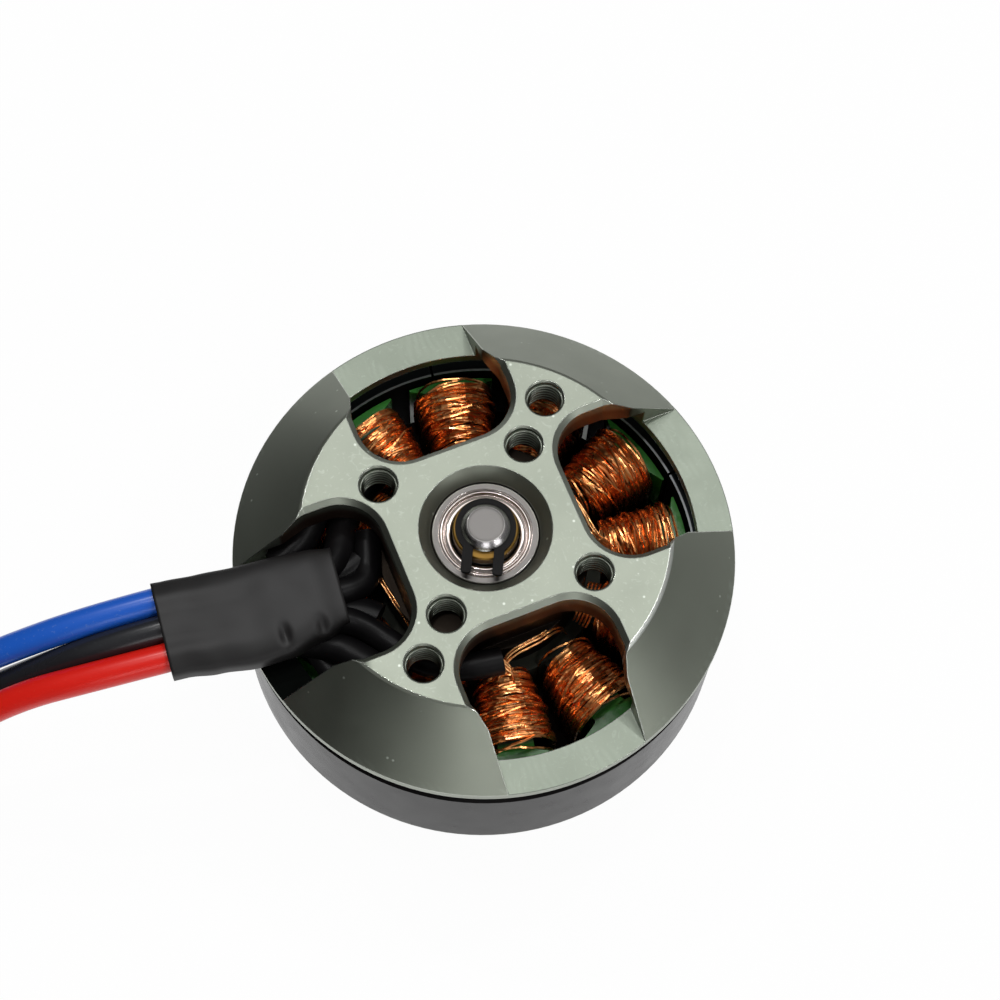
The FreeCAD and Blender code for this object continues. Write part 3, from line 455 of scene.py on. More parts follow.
@dataclass(frozen=True)
class BlastedAnodised(Finish):
    """Aluminium, bead blasted and anodised: satin, with painted glints for its etched sparkle and faint
    curled marks painted lighter as a reflection of their dents.
    """

    mark_colour: str = "#D8E2D6"
    mark_amount: float = 0.2
    glint_amount: float = 0.7
    pit_depth_mm: float = 0.004
    edge_mm: float = 0.0
    milled: bool = False

    def detail(self, skin: Skin) -> None:
        """Cloudy tone, curled marks painted lighter as a reflection of their dents, painted glints and a
        blasted grain; see Finish.detail.
        """
        edges = skin.break_edges(self.edge_mm) if self.edge_mm else None
        cloud = add_node(skin.tree, "ShaderNodeTexNoise", skin.laid(3.5, {"Detail": 3.0}))
        skin.vary(cloud, "#8E978B", 0.25)
        curls = add_node(skin.tree, "ShaderNodeTexNoise", skin.laid(0.8, {"Detail": 2.5, "Distortion": 2.4}))
        marks, dents = skin.step(curls, 0.58, 0.72), curls
        if self.milled:
            marks, dents = (skin.step(skin.facing(), 0.9, 0.97, pattern) for pattern in (marks, dents))
        # painted reflection: the curled marks over the dents are painted lighter, and only on level faces
        # where the base is milled
        skin.vary(marks, self.mark_colour, self.mark_amount)
        self.painted_glints(skin)
        # the blasted grain is about 0.05 mm and is drawn at 0.12 mm, which the render can still show
        grain = add_node(skin.tree, "ShaderNodeTexNoise", skin.laid(0.12, {"Detail": 2.0}))
        skin.roughen(cloud, self.roughness - 0.05, self.roughness + 0.05)
        skin.emboss(grain, self.pit_depth_mm)
        skin.emboss(dents, self.pit_depth_mm)
        if edges:
            skin.vary(edges, "#EEF2EA", 0.55)
            skin.polish(edges, 0.2)

    def painted_glints(self, skin: Skin) -> None:
        """Sparse bright pinpoints, painted glints that stand for the sparkle of the etched grain; see
        Finish.detail.
        """
        # the pinpoints are about 0.08 mm and are drawn at 0.15 mm
        cells = add_node(skin.tree, "ShaderNodeTexVoronoi", skin.laid(1.3))
        chosen = add_node(skin.tree, "ShaderNodeMath", {0: cells.outputs["Color"], 1: 0.62},
                          operation="GREATER_THAN")
        # painted glints: chosen cells are painted near white
        skin.vary(skin.step(cells, 0.11, 0.05, chosen, soft=False), "#F2F8EE", self.glint_amount)


@dataclass(frozen=True)
class MilledBase(BlastedAnodised):
    """The same anodised aluminium on the base: milled lands, painted shade and reflections on its faces and
    walls, and one painted edge highlight.
    """

    milled: bool = True
    mill_depth_mm: float = 0.003
    highlight_radius_mm: float = 15.12
    sleeve_shade_spot_mm: tuple[float, float, float] = (-8.6, -16.8, 21.2)
    # where each mask begins to show and where it is whole, in metres
    milled_land: tuple[float, float] = (21.35 * MM, 21.2 * MM)
    low_land: tuple[float, float] = (21.5 * MM, 21.3 * MM)
    inner_wall: tuple[float, float] = (16.9 * MM, 16.5 * MM)
    window_depth: tuple[float, float] = (25.5 * MM, 24.2 * MM)
    tube_wall: tuple[float, float] = (9.3 * MM, 9.1 * MM)
    tube_depth: tuple[float, float] = (23.0 * MM, 22.8 * MM)
    sleeve_shade_reach: tuple[float, float] = (7.6 * MM, 6.4 * MM)
    highlight_width: tuple[float, float] = (0.2 * MM, 0.13 * MM)
    highlight_side: tuple[float, float] = (13.4 * MM, 14.4 * MM)

    def detail(self, skin: Skin) -> None:
        """Blasted surface as elsewhere, then the milling marks, the painted shade and reflections, and the
        painted edge highlight; see Finish.detail.
        """
        super().detail(skin)
        self.mill_marks(skin)
        self.painted_shade_and_reflections(skin)
        self.painted_edge_highlight(skin)

    def mill_marks(self, skin: Skin) -> None:
        """Faint arcs that the end mill left on the low lands; see Finish.detail."""
        # the tool's marks are about 0.1 mm apart and are drawn at 0.45 mm
        course = {"Distortion": 9.0, "Detail": 1.5, "Detail Scale": 0.35}
        arcs = add_node(skin.tree, "ShaderNodeTexWave", skin.laid(0.45, course, share=WAVE_SHARE),
                        wave_type="BANDS", bands_direction="DIAGONAL")
        patches = add_node(skin.tree, "ShaderNodeTexNoise", skin.laid(2.2, {"Detail": 1.0}))
        marks = skin.step(patches, 0.45, 0.65, arcs.outputs["Fac"], soft=False)
        low = skin.step(skin.height(), *self.milled_land, marks, soft=False)
        skin.vary(low, self.mark_colour, 0.12)
        skin.emboss(low, self.mill_depth_mm)

    def painted_shade_and_reflections(self, skin: Skin) -> None:
        """Painted shade and reflections: level faces and low lands a shade darker, the window walls brown as
        painted shade and painted copper reflection, the tube wall under the plate near black, and the painted
        shadow of the lead sleeve on the land beside it; see Finish.detail.
        """
        height, facing, reach = skin.height(), skin.facing(), skin.reach()
        level = skin.step(facing, 0.93, 0.98)
        low = skin.step(height, *self.low_land, level)
        inner = skin.step(reach, *self.inner_wall)
        upright = skin.step(facing, 0.5, 0.2, inner)
        deep = skin.step(height, *self.window_depth, upright)
        tube = skin.step(reach, *self.tube_wall)
        under = skin.step(height, *self.tube_depth, tube)
        # painted shade: level faces and low lands darker, window walls brown with painted copper reflection,
        # the tube wall near black
        for mask, colour, amount in ((level, "#6C7167", 0.5), (low, "#667065", 0.45), (deep, "#57382B", 0.9),
                                     (under, "#160D09", 0.97)):
            skin.vary(mask, colour, amount)
        # painted shadow and reflection of the lead sleeve: the land beside it is painted near black and
        # rougher
        aside = add_node(skin.tree, "ShaderNodeVectorMath",
                         {0: skin.place, 1: tuple(c * MM for c in self.sleeve_shade_spot_mm)}, operation="DISTANCE")
        sleeve_shadow = skin.step(aside, *self.sleeve_shade_reach, level)
        skin.vary(sleeve_shadow, "#050707", 0.98)
        skin.polish(sleeve_shadow, 0.8)

    def painted_edge_highlight(self, skin: Skin) -> None:
        """Painted highlight: a thin bright line along the edge between face and cone, on the +X side only;
        see Finish.detail.
        """
        off = add_node(skin.tree, "ShaderNodeMath", {0: skin.reach(), 1: self.highlight_radius_mm * MM},
                       operation="SUBTRACT")
        near = add_node(skin.tree, "ShaderNodeMath", {0: off}, operation="ABSOLUTE")
        line = skin.step(near, *self.highlight_width)
        aside = add_node(skin.tree, "ShaderNodeSeparateXYZ", {0: skin.place}).outputs["X"]
        worn = skin.step(aside, *self.highlight_side, line)
        # painted highlight: the edge line is painted near white and smoother on the +X side only
        skin.vary(worn, "#FBFFF8", 0.9)
        skin.polish(worn, 0.3)


@dataclass(frozen=True)
class TurnedMetal(Finish):
    """Metal turned or ground on a lathe: fine rings about the shaft that stretch its highlights."""

    ring_mm: float = 0.12
    ring_depth_mm: float = 0.0012
    tarnish: str = "#8A8784"
    edge_mm: float = 0.0

    def detail(self, skin: Skin) -> None:
        """Fine lathe rings and a little uneven tarnish; see Finish.detail."""
        edges = skin.break_edges(self.edge_mm) if self.edge_mm else None
        course = {"Distortion": 0.6, "Detail": 2.0, "Detail Scale": 0.4}
        rings = add_node(skin.tree, "ShaderNodeTexWave", skin.laid(self.ring_mm, course, share=WAVE_SHARE),
                         wave_type="RINGS", rings_direction="Z")
        cloud = add_node(skin.tree, "ShaderNodeTexNoise", skin.laid(1.4, {"Detail": 4.0}))
        skin.vary(cloud, self.tarnish, 0.35)
        skin.roughen(cloud, self.roughness * 0.75, self.roughness * 1.3)
        if edges:
            skin.vary(edges, "#F0ECE8", 0.8)
            skin.polish(edges, 0.14)
        skin.emboss(rings.outputs["Fac"], self.ring_depth_mm)


@dataclass(frozen=True)
class ShaftSteel(TurnedMetal):
    """Ground shaft whose sawn and faced end stays duller than its polished rim."""

    end_radius_mm: float = 1.5
    end_height_mm: float = 26.9

    def detail(self, skin: Skin) -> None:
        """Lathe rings as on other turned metal, then the dull end face; see Finish.detail."""
        super().detail(skin)
        above = add_node(skin.tree, "ShaderNodeMath", {0: skin.height(), 1: self.end_height_mm * MM},
                         operation="GREATER_THAN")
        face = skin.step(skin.reach(), (self.end_radius_mm + 0.05) * MM, (self.end_radius_mm - 0.05) * MM,
                         above, soft=False)
        skin.vary(face, "#6A6865", 0.9)
        skin.polish(face, 0.5)


@dataclass(frozen=True)
class Lacquer(Finish):
    """Dark stoved lacquer over the turned can: deep gloss that mirrors the bench, faint turning lines."""

    def detail(self, skin: Skin) -> None:
        """Faint turning lines under the gloss and slow changes in sheen; see Finish.detail."""
        skin.shader.inputs["Specular IOR Level"].default_value = 0.05
        # turning lines of 0.05 mm are drawn at 0.2 mm
        course = {"Distortion": 0.4, "Detail": 1.0}
        lines = add_node(skin.tree, "ShaderNodeTexWave", skin.laid(0.2, course, share=WAVE_SHARE),
                         wave_type="BANDS", bands_direction="Z")
        cloud = add_node(skin.tree, "ShaderNodeTexNoise", skin.laid(2.5, {"Detail": 4.0}))
        skin.vary(cloud, "#1C1919", 0.6)
        skin.roughen(cloud, self.roughness - 0.05, self.roughness + 0.08)
        skin.emboss(lines.outputs["Fac"], 0.0006)
        skin.emboss(cloud, 0.01)


@dataclass(frozen=True)
class EnamelledCopper(Finish):
    """Copper magnet wire under clear baked enamel: warm metal with a glassy skin, and painted shade that
    darkens it towards the bottom of the slots.
    """

    top_mm: float = 18.7
    deep_mm: float = 13.4

    def detail(self, skin: Skin) -> None:
        """Each turn gets its own tone, with small changes along the wire, and painted shade lower down; see
        Finish.detail.
        """
        skin.shader.inputs["Coat Weight"].default_value = 0.5
        skin.shader.inputs["Coat Roughness"].default_value = 0.14
        skin.shader.inputs["Coat Tint"].default_value = linear("#FFC98C")
        turn = add_node(skin.tree, "ShaderNodeAttribute", attribute_name="turn")
        skin.vary(turn.outputs["Fac"], "#E8904A", 0.55)
        # painted shade: the wire is painted dark brown from top_mm down to deep_mm
        skin.vary(skin.step(skin.height(), self.top_mm * MM, self.deep_mm * MM), "#4A1C0A", 0.9)
        along = add_node(skin.tree, "ShaderNodeTexNoise", skin.laid(0.9, {"Detail": 1.0}))
        skin.roughen(along, self.roughness - 0.04, self.roughness + 0.1)
        skin.emboss(along, 0.11)


@dataclass(frozen=True)
class EpoxyCoat(Finish):
    """Powder epoxy baked over steel laminations: glossy, with soft orange peel and thin edges."""

    shade_reach_mm: float = 16.0

    def detail(self, skin: Skin) -> None:
        """Orange peel, mottled tone, painted shade inside the tooth tips and faint lamination lines; see
        Finish.detail.
        """
        peel = add_node(skin.tree, "ShaderNodeTexNoise", skin.laid(0.5, {"Detail": 2.0}))
        skin.vary(peel, "#1C5220", 0.5)
        # painted shade: the coat is painted near black, and rougher, everywhere inside the tooth tips, which
        # stay green
        inner_shade = skin.step(skin.reach(), self.shade_reach_mm * MM, (self.shade_reach_mm - 0.6) * MM)
        skin.vary(inner_shade, "#120A07", 0.97)
        skin.roughen(peel, self.roughness - 0.08, self.roughness + 0.1)
        skin.polish(inner_shade, 0.8)
        # laminations are 0.2 mm thick
        sheets = add_node(skin.tree, "ShaderNodeTexWave", skin.laid(0.2, share=WAVE_SHARE),
                          wave_type="BANDS", bands_direction="Z")
        skin.emboss(sheets.outputs["Fac"], 0.002)
        skin.emboss(peel, 0.02)


@dataclass(frozen=True)
class ShrunkPolyolefin(Finish):
    """Heat-shrunk polyolefin: satin and slightly waxy, pulled smooth over what it holds."""

    gloss: float = 0.45

    def detail(self, skin: Skin) -> None:
        """Soft waviness, a fine waxy grain and uneven gloss; see Finish.detail."""
        skin.shader.inputs["Specular IOR Level"].default_value = self.gloss
        wavy = add_node(skin.tree, "ShaderNodeTexNoise", skin.laid(3.4, {"Detail": 1.0}))
        grain = add_node(skin.tree, "ShaderNodeTexNoise", skin.laid(0.15, {"Detail": 1.0}))
        skin.vary(wavy, "#2E2C2D", 0.3)
        skin.roughen(wavy, self.roughness - 0.05, self.roughness + 0.05)
        skin.emboss(wavy, 0.03)
        skin.emboss(grain, 0.0012)


@dataclass(frozen=True)
class Silicone(Finish):
    """Extruded silicone insulation: smooth and soft, with a broad gloss and a trace of dust."""

    dust: str = "#8FA6C8"

    def detail(self, skin: Skin) -> None:
        """Slight colour drift, dust and extrusion waviness; see Finish.detail."""
        skin.shader.inputs["Coat Weight"].default_value = 0.12
        skin.shader.inputs["Coat Roughness"].default_value = 0.2
        skin.shader.inputs["Specular IOR Level"].default_value = 0.4
        drift = add_node(skin.tree, "ShaderNodeTexNoise", skin.laid(6.0, {"Detail": 3.0}))
        dust = add_node(skin.tree, "ShaderNodeTexNoise", skin.laid(0.25, {"Detail": 3.0}))
        skin.vary(skin.step(dust, 0.62, 0.8, soft=False), self.dust, 0.3)
        skin.roughen(drift, self.roughness - 0.06, self.roughness + 0.08)
        skin.emboss(drift, 0.03)


@dataclass(frozen=True)
class PlatedMetal(Finish):
    """Plated or oxidised metal: even colour with a fine grain and small changes in gloss."""

    worn: str = "#6A6A6C"
    gloss: float = 0.5

    def detail(self, skin: Skin) -> None:
        """Cloudy wear and a very fine grain; see Finish.detail."""
        if not self.metallic:
            skin.shader.inputs["Specular IOR Level"].default_value = self.gloss
        cloud = add_node(skin.tree, "ShaderNodeTexNoise", skin.laid(1.2, {"Detail": 5.0}))
        skin.vary(cloud, self.worn, 0.3)
        skin.roughen(cloud, self.roughness - 0.05, self.roughness + 0.08)
        grain = add_node(skin.tree, "ShaderNodeTexNoise", skin.laid(0.08, {"Detail": 1.0}))
        skin.emboss(grain, 0.0015)


@dataclass(frozen=True)
class MagnetNickel(PlatedMetal):
    """Dull nickel on the magnets, with a painted highlight along the inner top edge and painted shade on the
    wall below it in the air gap.
    """

    edge_radius_mm: float = 17.8
    edge_width_mm: float = 0.2
    top_mm: float = 18.0

    def detail(self, skin: Skin) -> None:
        """Plated grain, the painted highlight on the inner edge and the painted shade on the wall under it;
        see Finish.detail.
        """
        super().detail(skin)
        height = skin.height()
        near = skin.step(skin.reach(), (self.edge_radius_mm + self.edge_width_mm) * MM,
                         (self.edge_radius_mm + self.edge_width_mm * 0.7) * MM)
        edge = skin.step(height, (self.top_mm - 0.12) * MM, (self.top_mm - 0.06) * MM, near)
        wall = skin.step(height, (self.top_mm - 0.1) * MM, (self.top_mm - 0.2) * MM, near)
        # painted shade on the wall below the top, then a painted highlight along the inner top edge
        skin.vary(wall, "#070809", 0.97)
        skin.polish(wall, 0.85)
        skin.vary(edge, "#C4C8CA", 0.85)


class Finishes:
    """All materials of the motor, built once."""

    def __init__(self) -> None:
        """Build every finish."""
        self.base = MilledBase("blasted_anodised_aluminium", "#979C90", 0.42, 1.0, edge_mm=0.12).build()
        self.can = Lacquer("gloss_dark_can", "#100F10", 0.24).build()
        self.bell = BlastedAnodised("dark_anodised_bell", "#302D2B", 0.4, 1.0, mark_colour="#6A6560",
                                    mark_amount=0.15, glint_amount=0.2).build()
        self.bearing = TurnedMetal("ground_bearing_steel", "#565351", 0.34, 1.0, edge_mm=0.1).build()
        self.shield = TurnedMetal("pressed_shield_steel", "#B9AEA9", 0.2, 1.0, ring_mm=0.2).build()
        self.cage = PlatedMetal("pressed_cage_steel", "#9A9690", 0.3, 1.0).build()
        self.shaft = ShaftSteel("ground_shaft_steel", "#C4C1C3", 0.2, 1.0, ring_mm=0.08, edge_mm=0.5).build()
        self.shim = TurnedMetal("brass_shim", "#6E5428", 0.36, 1.0, tarnish="#4A3818").build()
        self.oxide = PlatedMetal("black_oxide_steel", "#0B0A0A", 0.5, 0.0, worn="#171514", gloss=0.12).build()
        self.magnet = MagnetNickel("nickel_plated_magnet", "#202427", 0.34, 0.9, worn="#121416").build()
        self.copper = EnamelledCopper("enamelled_copper_wire", "#FFD094", 0.25, 1.0).build()
        self.core = EpoxyCoat("green_epoxy_coat", "#3A8832", 0.2).build()
        self.shrink = ShrunkPolyolefin("black_shrink_sleeve", "#151414", 0.5, gloss=0.38).build()
        # a dark sheet that stands in for the shade under and between the coils
        self.shade_blocker = ShrunkPolyolefin("brown_slot_varnish", "#0C0705", 0.9, gloss=0.0).build()
        self.tubing = ShrunkPolyolefin("black_phase_tubing", "#030304", 0.36, gloss=0.12).build()
        self.shrink_blue = ShrunkPolyolefin("blue_shrink_sleeve", "#1C3F8E", 0.4).build()
        self.shrink_red = ShrunkPolyolefin("red_shrink_sleeve", "#A81A14", 0.4).build()
        self.blue = Silicone("blue_silicone", "#1B5DC8", 0.34).build()
        self.black = Silicone("black_silicone", "#26272A", 0.28, dust="#4A4A4E").build()
        self.red = Silicone("red_silicone", "#E21A0C", 0.34, dust="#E2503C").build()
        self.gold = PlatedMetal("gold_plate", "#DDA94B", 0.2, 1.0, worn="#B98432").build()


# ---------------------------------------------------------------------------------------------
# Geometry node trees
# ---------------------------------------------------------------------------------------------
def new_tree(name: str, inputs: dict[str, str]) -> tuple[Tree, bpy.types.NodeOutputs]:
    """Start a geometry node tree with named inputs.

    Args:
        name: Name of the tree.
        inputs: Kind of each input by its name, such as "Int".

    Returns:
        The tree and what its inputs give.
    """
    tree = bpy.data.node_groups.new(name, "GeometryNodeTree")
    tree.is_modifier = True
    tree.interface.new_socket(name="Geometry", in_out="INPUT", socket_type="NodeSocketGeometry")
    for label, kind in inputs.items():
        tree.interface.new_socket(name=label, in_out="INPUT", socket_type=f"NodeSocket{kind}")
    tree.interface.new_socket(name="Geometry", in_out="OUTPUT", socket_type="NodeSocketGeometry")
    return tree, add_node(tree, "NodeGroupInput").outputs


def close_tree(tree: Tree, geometry: Node, material: Socket) -> Tree:
    """End a tree in realised geometry with its material.

    Args:
        tree: The tree.
        geometry: Node that gives the geometry.
        material: Socket that gives the material.

    Returns:
        The same tree.
    """
    real = add_node(tree, "GeometryNodeRealizeInstances", {"Geometry": geometry})
    dressed = add_node(tree, "GeometryNodeSetMaterial", {"Geometry": real, "Material": material})
    add_node(tree, "NodeGroupOutput", {"Geometry": dressed})
    return tree


def sweep(tree: Tree, path: Node, radius: Node | Socket, sides: int | Socket, caps: bool = True) -> Node:
    """Sweep a circle along curves.

    Args:
        tree: The tree.
        path: Node that gives the curves.
        radius: Radius of the circle.
        sides: Number of its sides.
        caps: Whether the ends are closed.

    Returns:
        The node that gives the mesh.
    """
    profile = add_node(tree, "GeometryNodeCurvePrimitiveCircle", {"Resolution": sides, "Radius": radius})
    return add_node(tree, "GeometryNodeCurveToMesh",
                    {"Curve": path, "Profile Curve": profile, "Fill Caps": caps})


def wander(tree: Tree, path: Node, amount: Socket, depth: Node | None = None) -> Node:
    """Push the points of curves about by a smooth noise.

    Args:
        tree: The tree.
        path: Node that gives the curves.
        amount: How far the points move.
        depth: Depth at which each wire reads the noise, where it has one of its own.

    Returns:
        The node that gives the moved curves.
    """
    place = add_node(tree, "GeometryNodeInputPosition")
    own = {"W": depth} if depth else {}
    drift = add_node(tree, "ShaderNodeTexNoise",
                     {"Vector": place, "Scale": 1 / (1.7 * MM), "Detail": 1.0, **own},
                     noise_dimensions="4D" if depth else "3D")
    centred = add_node(tree, "ShaderNodeVectorMath", {0: drift.outputs["Color"], 1: (0.5, 0.5, 0.5)},
                       operation="SUBTRACT")
    moved = add_node(tree, "ShaderNodeVectorMath", {0: centred, "Scale": amount}, operation="SCALE")
    return add_node(tree, "GeometryNodeSetPosition", {"Geometry": path, "Offset": moved})


def layer_of_turns(tree: Tree, given: bpy.types.NodeOutputs, count: str, inset: float, skew: float,
                   spread: float, margin: float, salt: float) -> Node:
    """Stand closed turns of wire in a row along one tooth.

    Args:
        tree: The tree.
        given: What the tree's inputs give.
        count: Input that holds the number of turns.
        inset: Distance inside the coil's outline, in wire diameters.
        skew: Largest tilt of a turn in radians.
        spread: Largest share by which a turn is smaller than its neighbours.
        margin: Distance kept from both ends of the coil, in wire diameters.
        salt: Number added to the seed.

    Returns:
        The node that gives the turns.
    """
    shrink = add_node(tree, "ShaderNodeMath", {0: given["Wire Diameter"], 1: inset}, operation="MULTIPLY")
    width, height = (add_node(tree, "ShaderNodeMath", {0: given[side], 1: shrink}, operation="SUBTRACT")
                     for side in ("Width", "Height"))
    outline = add_node(tree, "GeometryNodeCurvePrimitiveQuadrilateral", {"Width": width, "Height": height})
    rounded = add_node(tree, "GeometryNodeFilletCurve",
                       {"Curve": outline, "Count": 9, "Radius": given["Corner"], "Limit Radius": True},
                       mode="POLY")
    even = add_node(tree, "GeometryNodeResampleCurve", {"Curve": rounded, "Count": 56})
    lift = add_node(tree, "ShaderNodeCombineXYZ", {"Z": given["Middle"]})
    upright = add_node(tree, "GeometryNodeTransform",
                       {"Geometry": even, "Translation": lift, "Rotation": (math.pi / 2, 0.0, math.pi / 2)})
    edge = add_node(tree, "ShaderNodeMath", {0: given["Wire Diameter"], 1: margin}, operation="MULTIPLY")
    first = add_node(tree, "ShaderNodeMath", {0: given["Coil Start"], 1: edge}, operation="ADD")
    last = add_node(tree, "ShaderNodeMath", {0: given["Coil End"], 1: edge}, operation="SUBTRACT")
    start, end = (add_node(tree, "ShaderNodeCombineXYZ", {"X": place}) for place in (first, last))
    row = add_node(tree, "GeometryNodeMeshLine", {"Count": given[count], "Start Location": start, 3: end},
                   mode="END_POINTS")
    seed = add_node(tree, "ShaderNodeMath", {0: given["Seed"], 1: salt}, operation="ADD")
    tilt = add_node(tree, "FunctionNodeRandomValue",
                    {"Min": (0.0, -skew * 0.3, -skew), "Max": (0.0, skew * 0.3, skew), "Seed": seed},
                    data_type="FLOAT_VECTOR")
    size, tone = (add_node(tree, "FunctionNodeRandomValue", {"Min": least, "Max": 1.0, "Seed": seed},
                           data_type="FLOAT") for least in (1 - spread, 0.0))
    # slots widen outwards, and so do the turns that fill them
    outward = add_node(tree, "ShaderNodeSeparateXYZ", {0: add_node(tree, "GeometryNodeInputPosition")})
    widen = add_node(tree, "ShaderNodeMapRange",
                     {"Value": outward, "From Min": given["Coil Start"], "From Max": given["Coil End"],
                      "To Min": given["Inner Share"], "To Max": 1.0})
    shape = add_node(tree, "ShaderNodeCombineXYZ", {"X": 1.0, "Y": widen, "Z": 1.0})
    scale = add_node(tree, "ShaderNodeVectorMath", {0: shape, "Scale": size}, operation="SCALE")
    turn = add_node(tree, "GeometryNodeInstanceOnPoints",
                    {"Points": row, "Instance": upright, "Rotation": tilt, "Scale": scale})
    marked = add_node(tree, "GeometryNodeStoreNamedAttribute",
                      {"Geometry": turn, "Name": "turn", "Value": tone}, data_type="FLOAT", domain="INSTANCE")
    return add_node(tree, "GeometryNodeRealizeInstances", {"Geometry": marked})


def winding_tree() -> Tree:
    """Tree that winds wire round one tooth and repeats the coil at the four teeth of a phase.

    Returns:
        The tree.
    """
    tree, given = new_tree("coil_winding", {
        "Turns": "Int", "Loose Turns": "Int", "Wire Diameter": "Float", "Coil Start": "Float",
        "Coil End": "Float", "Width": "Float", "Inner Share": "Float", "Height": "Float",
        "Middle": "Float", "Corner": "Float", "First Angle": "Float", "Wander": "Float",
        "Seed": "Int", "Wire": "Material"})
    # the wound layer lies in the coil's outline, the loose turns cross over it, the deep layer fills below
    layers = [layer_of_turns(tree, given, "Turns", 1.0, 0.1, 0.03, 1.0, 17.0),
              layer_of_turns(tree, given, "Loose Turns", 0.2, 0.3, 0.06, 4.0, 34.0),
              layer_of_turns(tree, given, "Turns", 2.8, 0.03, 0.01, 0.0, 51.0)]
    coil = add_node(tree, "GeometryNodeJoinGeometry", {"Geometry": layers})
    # coils stand on two neighbouring teeth and on the two opposite
    spots = add_node(tree, "GeometryNodePoints", {"Count": 4, "Position": (0.0, 0.0, 0.0)})
    index = add_node(tree, "GeometryNodeInputIndex")
    half = add_node(tree, "ShaderNodeMath", {0: index, 1: 0.5}, operation="MULTIPLY")
    pair = add_node(tree, "ShaderNodeMath", {0: half}, operation="FLOOR")
    odd = add_node(tree, "ShaderNodeMath", {0: index, 1: 2.0}, operation="MODULO")
    opposite = add_node(tree, "ShaderNodeMath", {0: pair, 1: math.pi, 2: given["First Angle"]},
                        operation="MULTIPLY_ADD")
    angle = add_node(tree, "ShaderNodeMath", {0: odd, 1: math.pi / 6, 2: opposite}, operation="MULTIPLY_ADD")
    turned = add_node(tree, "ShaderNodeCombineXYZ", {"Z": angle})
    placed = add_node(tree, "GeometryNodeInstanceOnPoints",
                      {"Points": spots, "Instance": coil, "Rotation": turned})
    real = add_node(tree, "GeometryNodeRealizeInstances", {"Geometry": placed})
    # every wire wanders by itself: the noise is read at a depth of its own
    own = add_node(tree, "GeometryNodeInputNamedAttribute", {"Name": "turn"}, data_type="FLOAT")
    depth = add_node(tree, "ShaderNodeMath", {0: own, 1: 40.0}, operation="MULTIPLY")
    radius = add_node(tree, "ShaderNodeMath", {0: given["Wire Diameter"], 1: 0.5}, operation="MULTIPLY")
    # flat facets stand for the tiny kinks of hand-wound wire, which break its gloss into short dashes
    wires = sweep(tree, wander(tree, real, given["Wander"], depth), radius, 5, caps=False)
    faceted = add_node(tree, "GeometryNodeSetShadeSmooth", {"Geometry": wires, "Shade Smooth": False})
    return close_tree(tree, faceted, given["Wire"])


def strand_tree() -> Tree:
    """Tree that lays a fine wire along each line of its host, a little out of true.

    Returns:
        The tree.
    """
    tree, given = new_tree("wire_strands", {"Wire Diameter": "Float", "Wander": "Float", "Sides": "Int",
                                            "Wire": "Material"})
    line = add_node(tree, "GeometryNodeMeshToCurve", {"Mesh": given["Geometry"]})
    soft = add_node(tree, "GeometryNodeCurveSplineType", {"Curve": line}, spline_type="NURBS")
    even = add_node(tree, "GeometryNodeResampleCurve", {"Curve": soft, "Length": 0.25 * MM}, mode="LENGTH")
    radius = add_node(tree, "ShaderNodeMath", {0: given["Wire Diameter"], 1: 0.5}, operation="MULTIPLY")
    wires = sweep(tree, wander(tree, even, given["Wander"]), radius, given["Sides"])
    smooth = add_node(tree, "GeometryNodeSetShadeSmooth", {"Geometry": wires, "Shade Smooth": True})
    return close_tree(tree, smooth, given["Wire"])


def thread_tree() -> Tree:
    """Tree that cuts the look of a screw thread into each hole: a ridge that winds down the wall.

    Returns:
        The tree.
    """
    tree, given = new_tree("screw_thread", {"Hole Radius": "Float", "Pitch": "Float", "Depth": "Float",
                                            "Ridge": "Float", "Metal": "Material"})
    turns = add_node(tree, "ShaderNodeMath", {0: given["Depth"], 1: given["Pitch"]}, operation="DIVIDE")
    helix = add_node(tree, "GeometryNodeCurveSpiral",
                     {"Resolution": 28, "Rotations": turns, "Start Radius": given["Hole Radius"],
                      "End Radius": given["Hole Radius"], "Height": given["Depth"]})
    upright = add_node(tree, "GeometryNodeSetCurveNormal", {"Curve": helix}, mode="Z_UP")
    ridge = sweep(tree, upright, given["Ridge"], 4)
    holes = add_node(tree, "GeometryNodeMeshToPoints", {"Mesh": given["Geometry"]})
    placed = add_node(tree, "GeometryNodeInstanceOnPoints", {"Points": holes, "Instance": ridge})
    return close_tree(tree, placed, given["Metal"])


# ---------------------------------------------------------------------------------------------
# Sub-assemblies
# ---------------------------------------------------------------------------------------------
@dataclass
class MountingBase:
    """Turned base with its tapped screw holes."""

    finishes: Finishes
    face_z: float = 26.2 * MM
    hole_radius: float = 1.5 * MM
    pitch: float = 0.5 * MM
    lead_in: float = 0.6 * MM
    thread_depth: float = 3.0 * MM
    ridge: float = 0.16 * MM
    holes: tuple[tuple[float, float], ...] = ((9.5, 0.0), (-9.5, 0.0), (0.0, 8.0), (0.0, -8.0),
                                              (0.0, 12.5), (0.0, -12.5))

    def build(self) -> None:
        """Dress the base and tap its holes."""
        give_material(self.finishes.base, "mounting_base")
        bottom = self.face_z - self.lead_in - self.thread_depth
        seeds = [Vector((x * MM, y * MM, bottom)) for x, y in self.holes]
        values = {"Hole Radius": self.hole_radius, "Pitch": self.pitch, "Depth": self.thread_depth,
                  "Ridge": self.ridge, "Metal": self.finishes.base}
        finish_piece(grow("mounting_hole_threads", thread_tree(), values, seeds), "anodised_base")


